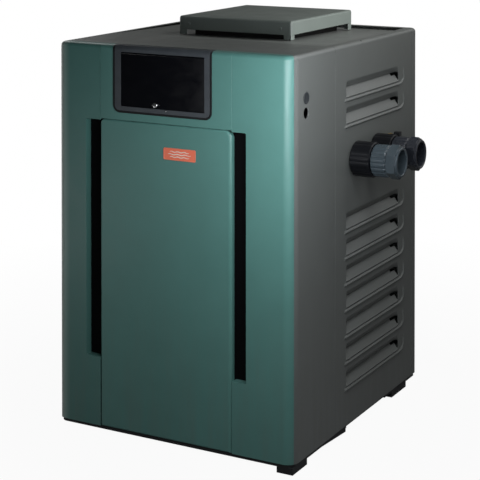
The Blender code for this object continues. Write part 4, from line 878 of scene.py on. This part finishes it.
# ---------------------------------------------------------------- control panel
def controls():
    blo, bhi = local("control_bezel")
    clo, chi = local("control_cover")
    x0, x1, z0, z1 = clo.x, chi.x, 0.8080, 0.9380
    lift = 0.003
    rim = 0.0052
    outline = rounded(blo.z, 1.02, blo.x, bhi.x, (0.018, 0.002, 0.002, 0.018), 8)
    raised = rounded(blo.z + rim, 1.02, blo.x + rim, bhi.x - rim, (0.013, 0.002, 0.002, 0.013), 8)
    obj = shell_piece("bezel", prism("y", outline, -0.40, -0.345), off=0.0010, skin=0.0008)
    bead = shell_piece("bead", prism("y", raised, -0.40, -0.352), off=lift, skin=lift - 0.0004)
    wall = 0.0060
    add(obj, box(x0 - wall, x1 + wall, FACE - lift + 0.0012, -0.3350, z0 - 0.0055, z1 + 0.0040))
    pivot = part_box("cover_hinge_pin")
    hy, hz = 0.5 * (pivot[0].y + pivot[1].y) - DY, 0.5 * (pivot[0].z + pivot[1].z)
    llo, lhi = local("cover_latch")
    lx, lz = -0.0400, 0.8170
    for body in (obj, bead):
        cut(
            body,
            prism("y", rounded(z0 - 0.0005, z1 + 0.0005, x0 - 0.0005, x1 + 0.0005, (0.002,) * 4, 4), -0.39, -0.30),
            cylinder("x", hy, hz, 0.0013, x0 - 0.0045, x1 + 0.0045, 20),
            box(lx - 0.011, lx + 0.011, -0.3648, -0.3560, z0 - 0.0045, z0 + 0.001),
        )
        keep(body, box(-0.3, 0.3, -0.4, -0.3, 0.7, TOP + 0.0008))
    piece(obj, "control_bezel_frame", "bezel_plastic", "cabinet", ["control_bezel"], bevel=0.0)
    # The bead's lighter plastic is a painted highlight on the raised frame.
    piece(bead, "control_bezel_bead", "bezel_bead", "cabinet", slot="bezel_plastic", bevel=0.0024, segments=4)
    # Painted shade: a black rubber ring in the step round the raised part of the frame stands in for the shadow gap
    # round the bezel.
    seal = rounded(blo.z - 0.0004, 1.02, blo.x - 0.0004, bhi.x + 0.0004, (0.0184, 0.002, 0.002, 0.0184), 8)
    obj = shell_piece("seal", prism("y", seal, -0.40, -0.352), off=0.0020, skin=0.0009)
    cut(obj, prism("y", rounded(blo.z + rim - 0.0002, 1.03, blo.x + rim - 0.0002, bhi.x - rim + 0.0002, (0.0132, 0.002, 0.002, 0.0132), 8), -0.41, -0.34))
    keep(obj, box(-0.3, 0.3, -0.4, -0.3, 0.7, TOP - 0.0030))
    piece(obj, "bezel_seal", "cable_rubber", "cabinet", slot="bezel_plastic", bevel=0.0006, segments=2)
    # A small dome screw in the frame, beside the latch.
    obj = raw("dome", stepped("y", 0.8050, -0.0108, [(FACE - lift + 0.0006, 0.0023), (FACE - lift - 0.0004, 0.0023), (FACE - lift - 0.0011, 0.0019), (FACE - lift - 0.0015, 0.0010)], 24))
    piece(obj, "bezel_screw", "chrome", "cabinet", slot="chrome")

    # Window: a slab with softened edges and a barrel along its top.
    y0, y1 = -0.3675, -0.3645
    obj = raw("cover", prism("y", rounded(z0, hz, x0, x1, (0.0025, 0.0005, 0.0005, 0.0025), 5), y0, y1))
    add(obj, cylinder("x", hy, hz, 0.0023, x0, x1, 28))
    cut(obj, cylinder("x", hy, hz, 0.00115, x0 - 0.01, x1 + 0.01, 20), cylinder("y", lz, lx, 0.0024, -0.38, -0.35, 28))
    piece(obj, "control_cover_window", "smoked_window", "control_cover", ["control_cover"], bevel=0.0005, segments=2)
    # A raised finger ledge along the window's foot.
    rim = []
    for a, b, c, d in ((x0 + 0.0020, x1 - 0.0020, z0 + 0.0012, z0 + 0.0024),):
        rim.append(box(a, b, y0 - 0.0006, y0 + 0.0002, c, d))
    obj = merge("ledge", rim)
    piece(obj, "control_cover_ledge", "smoked_window", "control_cover", slot="smoked_window", bevel=0.0003)

    # Latch: turned knob with a cross grip, shaft and cam.
    solid = stepped("y", lz, lx, [(-0.3680, 0.0062), (-0.3706, 0.0062), (-0.3713, 0.0058), (-0.3718, 0.0050), (-0.3720, 0.0030)], 40)
    obj = raw("latch", solid)
    add(obj, box(lx - 0.0050, lx + 0.0050, -0.3760, -0.3710, lz - 0.0012, lz + 0.0012))
    add(obj, cylinder("y", lz, lx, 0.0021, -0.3690, -0.3620, 20), box(lx - 0.0032, lx + 0.0125, -0.3641, -0.3615, lz - 0.0032, lz + 0.0032))
    piece(obj, "cover_latch_knob", "chrome", "cover_latch", ["cover_latch"], bevel=0.0003, segments=2)

    # Fascia: plate with openings, display, keys and marks.
    flo, fhi = local("control_fascia")
    dlo, dhi = local("display_lens")
    keys = []
    for node in ("mode_button", "temp_up_button", "temp_down_button"):
        a, b = local(node)
        keys.append((node, 0.5 * (a.x + b.x), 0.5 * (a.z + b.z)))
    obj = raw("fascia", box(flo.x, fhi.x, flo.y, fhi.y, flo.z, fhi.z))
    cut(obj, *[cylinder("y", z, x, 0.0064, -0.37, -0.34, 36) for _, x, z in keys])
    cut(obj, box(dlo.x - 0.0003, dhi.x + 0.0003, -0.37, -0.34, dlo.z - 0.0003, dhi.z + 0.0003))
    piece(obj, "control_fascia_plate", "fascia_grey", "cabinet", ["control_fascia"], bevel=0.0004)
    face = flo.y
    obj = raw("lens", prism("y", rounded(dlo.z, dhi.z, dlo.x, dhi.x, (0.002,) * 4, 4), dlo.y, dhi.y))
    piece(obj, "display_window", "display_glass", "cabinet", ["display_lens"], bevel=0.0004)
    for node, x, z in keys:
        a, b = local(node)
        steps = [(b.y, 0.0074), (b.y - 0.0012, 0.0074), (b.y - 0.0012, 0.0060), (a.y + 0.0009, 0.0060), (a.y + 0.0003, 0.0057), (a.y, 0.0050), (a.y + 0.0004, 0.0020)]
        obj = raw(node, stepped("y", z, x, steps, 36))
        piece(obj, node + "_cap", "button_rubber", node, [node], bevel=0.0)
        r = 0.0026
        if node == "mode_button":
            mark = ring("y", z, x, [(a.y - 0.0002, 0.0029), (a.y + 0.0008, 0.0029), (a.y + 0.0008, 0.0020), (a.y - 0.0002, 0.0020)], 28)
        else:
            turn = 0.0 if node == "temp_up_button" else math.pi
            mark = cylinder("y", z, x, r, a.y - 0.0002, a.y + 0.0008, 3, turn)
        obj = raw("mark", mark)
        piece(obj, node + "_mark", "print_white", node, slot="button_rubber")
    # Seven-segment figures behind the display glass, and two lamps beside it.
    bars = {"a": (0, 1, 1), "b": (1, 0.5, 0), "c": (1, -0.5, 0), "d": (0, -1, 1), "e": (-1, -0.5, 0), "f": (-1, 0.5, 0), "g": (0, 0, 1)}
    digits = {"8": "abcdefg", "4": "bcfg", "2": "abdeg"}
    solids = []
    h, w, t = 0.0105, 0.0052, 0.0010
    for k, d in enumerate("82"):
        cx = 0.5 * (dlo.x + dhi.x) - 0.010 + 0.020 * k
        cz = 0.5 * (dlo.z + dhi.z)
        for s in digits[d]:
            ux, uz, flat = bars[s]
            bx, bz = cx + ux * w, cz + uz * h
            if flat:
                solids.append(prism("y", [(bz, bx - w + 0.0006), (bz - t, bx - w + 0.0016), (bz - t, bx + w - 0.0016), (bz, bx + w - 0.0006), (bz + t, bx + w - 0.0016), (bz + t, bx - w + 0.0016)], dlo.y - 0.00015, dlo.y + 0.0002))
            else:
                solids.append(prism("y", [(bz - h * 0.5 + 0.0006, bx), (bz - h * 0.5 + 0.0016, bx + t), (bz + h * 0.5 - 0.0016, bx + t), (bz + h * 0.5 - 0.0006, bx), (bz + h * 0.5 - 0.0016, bx - t), (bz - h * 0.5 + 0.0016, bx - t)], dlo.y - 0.00015, dlo.y + 0.0002))
    obj = merge("figures", solids)
    piece(obj, "display_figures", "digit_dark", "cabinet", slot="display_glass")
    lamps = [stepped("y", z, x, [(face + 0.001, 0.0022), (face - 0.0006, 0.0022), (face - 0.0014, 0.0017), (face - 0.0018, 0.0008)], 24) for x, z in ((0.035, 0.902), (0.035, 0.890), (0.035, 0.878))]
    obj = merge("lamps", lamps)
    piece(obj, "status_lamps", "led_red", "cabinet", slot="button_rubber")
    lines = [box(0.042, 0.072, face - 0.0002, face + 0.0004, z - 0.0007, z + 0.0007) for z in (0.902, 0.890, 0.878)]
    lines += [box(flo.x + 0.006, fhi.x - 0.006, face - 0.0002, face + 0.0004, z - 0.0004, z + 0.0004) for z in (flo.z + 0.006, fhi.z - 0.010)]
    obj = merge("lines", lines)
    piece(obj, "fascia_lines", "print_white", "cabinet", slot="fascia_grey")


# ---------------------------------------------------------------- water unions
def ribbed_ring(axis, cu, cv, r, dip, ribs, bore, a0, a1, chamfer):
    """A grip ring: rounded ribs outside, a plain bore inside, and chamfered ends."""
    per = 8
    n = ribs * per
    points, faces = [], []
    outer_levels = [(a0, -chamfer), (a0 + chamfer, 0.0), (a1 - chamfer, 0.0), (a1, -chamfer)]
    for pos, dr in outer_levels:
        for i in range(n):
            a = 2 * math.pi * i / n
            wave = 0.5 - 0.5 * math.cos(2 * math.pi * i / per)
            flatness = min(1.0, wave * 1.9)
            rr = r - dip + dip * flatness + dr
            points.append(place(axis, cu + rr * math.cos(a), cv + rr * math.sin(a), pos))
    for pos, rr in ((a1, bore + 0.0006), (a1 - 0.0006, bore), (a0 + 0.0006, bore), (a0, bore + 0.0006)):
        for i in range(n):
            a = 2 * math.pi * i / n
            points.append(place(axis, cu + rr * math.cos(a), cv + rr * math.sin(a), pos))
    rings = 8
    for k in range(rings):
        m = (k + 1) % rings
        for i in range(n):
            j = (i + 1) % n
            faces.append((k * n + i, k * n + j, m * n + j, m * n + i))
    return points, faces


def unions():
    for name in ("inlet", "outlet"):
        lo, hi = local(f"{name}_union_body")
        y, z = 0.5 * (lo.y + hi.y), 0.5 * (lo.z + hi.z)
        x = HALF_W
        R = 0.5 * (hi.z - lo.z)
        # Painted shade: the rear union takes a darker copy of the same grey.
        shade = "union_grey" if y <= min(0.5 * (a.y + b.y) for a, b in map(local, ("inlet_union_body", "outlet_union_body"))) + 1e-6 else "union_far"
        # Body: neck through the panel and a broad collar with faint grip flats.
        obj = raw("body", ribbed_ring("x", y, z, R, 0.0010, 16, 0.0300, x + 0.0030, x + 0.0550, 0.0022))
        piece(obj, f"{name}_union_collar", "union_black", "cabinet", [f"{name}_union_body"], bevel=0.0, smooth=40.0)
        obj = raw("neck", ring("x", y, z, [(lo.x, 0.0235), (lo.x, 0.0250), (lo.x + 0.001, 0.0260), (x + 0.0032, 0.0260), (x + 0.0034, 0.0302), (x + 0.0500, 0.0302), (x + 0.0500, 0.0235)], 48))
        piece(obj, f"{name}_union_neck", "union_black", "cabinet", slot="union_black")
        a, b = local(f"{name}_union_nut")
        obj = raw("nut", ribbed_ring("x", y, z, 0.5 * (b.z - a.z) + 0.0001, 0.0018, 20, 0.0346, a.x, b.x, 0.0034))
        piece(obj, f"{name}_union_ring", shade, f"{name}_nut", [f"{name}_union_nut"], bevel=0.0, smooth=40.0)
        a, b = local(f"{name}_tailpiece")
        end = b.x
        hex_r = 0.5 * (b.z - a.z)
        # Tailpiece: hexagon with turned-off corners, then a plain socket ring.
        steps = [(x + 0.0950, 0.0345), (x + 0.0950, hex_r - 0.0068), (x + 0.0990, hex_r), (x + 0.1178, hex_r), (x + 0.1193, hex_r - 0.0018), (x + 0.1196, 0.0362), (end - 0.0012, 0.0360), (end, 0.0346)]
        obj = raw("tail", stepped("x", y, z, steps, 60))
        keep(obj, stepped("x", y, z, [(x + 0.0945, hex_r), (x + 0.1194, hex_r), (x + 0.1194, 0.060), (x + 0.140, 0.060)], 6, math.pi / 2))
        add(obj, stepped("x", y, z, [(a.x, 0.0335), (a.x + 0.0008, 0.0340), (x + 0.0955, 0.0340)], 60))
        cut(obj, stepped("x", y, z, [(0.35, 0.0240), (x + 0.0750, 0.0240), (x + 0.0750, 0.0300), (end - 0.0012, 0.0302), (end + 0.0001, 0.0314), (0.5, 0.0314)], 60))
        piece(obj, f"{name}_union_tail", shade, "cabinet", [f"{name}_tailpiece"], bevel=0.0006, segments=2, smooth=35.0, limit=25.0)
        bore = ring("x", y, z, [(x + 0.0755, 0.0303), (x + 0.0755, 0.0299), (end - 0.0018, 0.0299), (end - 0.0014, 0.0303)], 60)
        obj = raw("bore", bore)
        piece(obj, f"{name}_union_bore", shade, "cabinet", slot="union_grey")


# ---------------------------------------------------------------- floor, light, camera
def studio():
    plane = bpy.data.meshes.new("floor")
    s = 30.0
    plane.from_pydata([(-s, -s, -0.0002), (s, -s, -0.0002), (s, s, -0.0002), (-s, s, -0.0002)], [], [(0, 1, 2, 3)])
    floor = bpy.data.objects.new("studio_floor", plane)
    bpy.context.scene.collection.objects.link(floor)
    m, nt, sh = tree("studio_floor")
    n = Net(nt)
    sh.inputs["Base Color"].default_value = (0.35, 0.35, 0.35, 1)
    sh.inputs["Roughness"].default_value = 0.9
    sh.inputs["Specular IOR Level"].default_value = 0.1
    glow = n.new("ShaderNodeEmission")
    glow.inputs["Color"].default_value = (1, 1, 1, 1)
    glow.inputs["Strength"].default_value = 1.0
    path = n.new("ShaderNodeLightPath")
    mix = n.new("ShaderNodeMixShader")
    dist = n.new("ShaderNodeVectorMath", operation="LENGTH")
    n.link(n.co, dist.inputs[0])
    far = n.ramp(dist.outputs["Value"], 0.6, 1.9, FLOOR_NEAR, 1.0)
    n.link(n.math("MULTIPLY", path.outputs["Is Camera Ray"], far), mix.inputs[0])
    n.link(sh.outputs[0], mix.inputs[1])
    n.link(glow.outputs[0], mix.inputs[2])
    n.link(mix.outputs[0], nt.nodes["Material Output"].inputs["Surface"])
    plane.materials.append(m)

    world = bpy.data.worlds.new("studio")
    bpy.context.scene.world = world
    world.use_nodes = True
    nt = world.node_tree
    back = nt.nodes["Background"]
    back.inputs["Color"].default_value = (0.86, 0.90, 0.92, 1)
    back.inputs["Strength"].default_value = AMBIENT
    seen = nt.nodes.new("ShaderNodeBackground")
    seen.inputs["Color"].default_value = (1, 1, 1, 1)
    seen.inputs["Strength"].default_value = 1.0
    path = nt.nodes.new("ShaderNodeLightPath")
    mix = nt.nodes.new("ShaderNodeMixShader")
    nt.links.new(path.outputs["Is Camera Ray"], mix.inputs[0])
    nt.links.new(back.outputs[0], mix.inputs[1])
    nt.links.new(seen.outputs[0], mix.inputs[2])
    nt.links.new(mix.outputs[0], nt.nodes["World Output"].inputs["Surface"])

    for name, place_, aim, size, power, colour in LIGHTS:
        data = bpy.data.lights.new(name, "AREA")
        data.shape = "RECTANGLE"
        data.size, data.size_y = size
        data.energy = power
        data.color = colour
        light = bpy.data.objects.new(name, data)
        light.visible_camera = False
        bpy.context.scene.collection.objects.link(light)
        light.location = Vector(place_) + OFF
        light.rotation_euler = (Vector(aim) - Vector(place_)).to_track_quat("-Z", "Y").to_euler()
        if name in ONLY:
            # A small light that only some pieces take.
            group = bpy.data.collections.new(name + "_takers")
            for taker in bpy.data.objects:
                if taker.type == "MESH" and taker.name.startswith(ONLY[name]):
                    group.objects.link(taker)
            light.light_linking.receiver_collection = group

    cam = bpy.data.cameras.new("camera")
    obj = bpy.data.objects.new("camera", cam)
    bpy.context.scene.collection.objects.link(obj)
    bpy.context.scene.camera = obj
    cam.sensor_width = 36.0
    cam.lens = 110.94
    cam.clip_start, cam.clip_end = 0.05, 60.0
    obj.location = Vector((1.8236, -3.3408, 1.3643)) + OFF
    obj.rotation_euler = (math.radians(90.0 - 0.979), 0.0, math.radians(28.806))
    # The lens shift belongs to the photographed view only: seen from anywhere else it is zero.
    drive = cam.driver_add("shift_y").driver
    drive.type = "SCRIPTED"
    var = drive.variables.new()
    var.name = "x"
    var.type = "TRANSFORMS"
    var.targets[0].id = obj
    var.targets[0].transform_type = "LOC_X"
    var.targets[0].transform_space = "WORLD_SPACE"
    drive.expression = f"-0.7084 if fabs(x - {obj.location.x:.6f}) < 0.0005 else 0.0"


AMBIENT = 0.030
FLOOR_NEAR = 0.95
WHITE, COOL = (1.0, 1.0, 1.0), (0.97, 1.0, 1.05)
ONLY = {"cap_side": ("vent_cap", "rear_deck")}
LIGHTS = [
    ("overhead", (0.60, 0.20, 1.50), (0.0, 0.0, 0.90), (0.6, 0.6), 3.0, WHITE),
    ("rear_high", (1.20, 2.60, 1.90), (0.20, 0.0, 0.60), (1.2, 0.9), 3.1, WHITE),
    ("left_high", (-1.00, 0.30, 1.70), (0.0, 0.0, 0.90), (0.6, 0.6), 3.2, WHITE),
    ("near_front", (0.45, -0.85, 0.80), (0.25, -0.36, 0.75), (0.25, 0.25), 2.2, COOL),
    ("near_corner", (0.55, -0.60, 0.95), (0.30, -0.30, 0.80), (0.2, 0.2), 1.15, COOL),
    ("near_side", (0.80, -0.35, 1.10), (0.30, -0.25, 0.85), (0.25, 0.25), 1.0, COOL),
    ("rear_right", (1.10, 0.90, 1.40), (0.0, 0.0, 0.90), (0.6, 0.6), 1.0, WHITE),
    ("rear_left", (-1.00, 3.00, 1.20), (0.20, 0.0, 0.60), (1.6, 0.9), 1.2, WHITE),
    ("rear_card", (1.90, 2.70, 0.50), (0.20, 0.0, 0.60), (1.2, 0.9), 0.9, WHITE),
    ("near_low", (0.75, -0.85, 0.65), (0.30, -0.30, 0.60), (0.25, 0.25), 0.75, COOL),
    ("left_low", (-0.90, -1.20, 0.30), (-0.2, -0.2, 0.6), (0.4, 0.4), 0.7, WHITE),
    ("front_card", (-0.80, -2.60, 0.35), (0.20, 0.0, 0.60), (0.7, 0.6), 0.8, WHITE),
    ("left_rim", (-1.30, -0.30, 0.70), (-0.3, -0.3, 0.6), (0.5, 1.2), 2.0, WHITE),
    ("cap_side", (1.05, 0.10, 1.12), (0.20, 0.10, 0.97), (0.3, 0.3), 8.5, WHITE),
    ("back_fill", (-2.00, 1.90, 0.55), (0.0, 0.0, 0.5), (1.2, 0.9), 9.0, WHITE),
]


# ---------------------------------------------------------------- carried-over CAD nodes
def carry_over():
    """Every CAD node still shown gets its finish, merged points and softened edges."""
    for name, obj in NODES.items():
        if obj.hide_render:
            continue
        kind = SLOT_OF[name]
        obj.data.materials.clear()
        obj.data.materials.append(M[kind])
        for p in obj.data.polygons:
            p.material_index = 0
            p.use_smooth = True
        if "custom_normal" in obj.data.attributes:
            obj.data.attributes.remove(obj.data.attributes["custom_normal"])
        weld = obj.modifiers.new("weld", "WELD")
        weld.merge_threshold = 0.00001
        b = obj.modifiers.new("soft edges", "BEVEL")
        b.width = 0.0006
        b.segments = 2
        b.limit_method = "ANGLE"
        b.angle_limit = math.radians(40)
        b.harden_normals = True
        w = obj.modifiers.new("flat faces", "WEIGHTED_NORMAL")
        w.keep_sharp = True


bpy.context.scene.view_settings.view_transform = "Standard"
wings()
door()
cowl()
side_panel("right_side_panel", 1)
side_panel("left_side_panel", -1)
deck_and_cap()
controls()
unions()
carry_over()
studio()
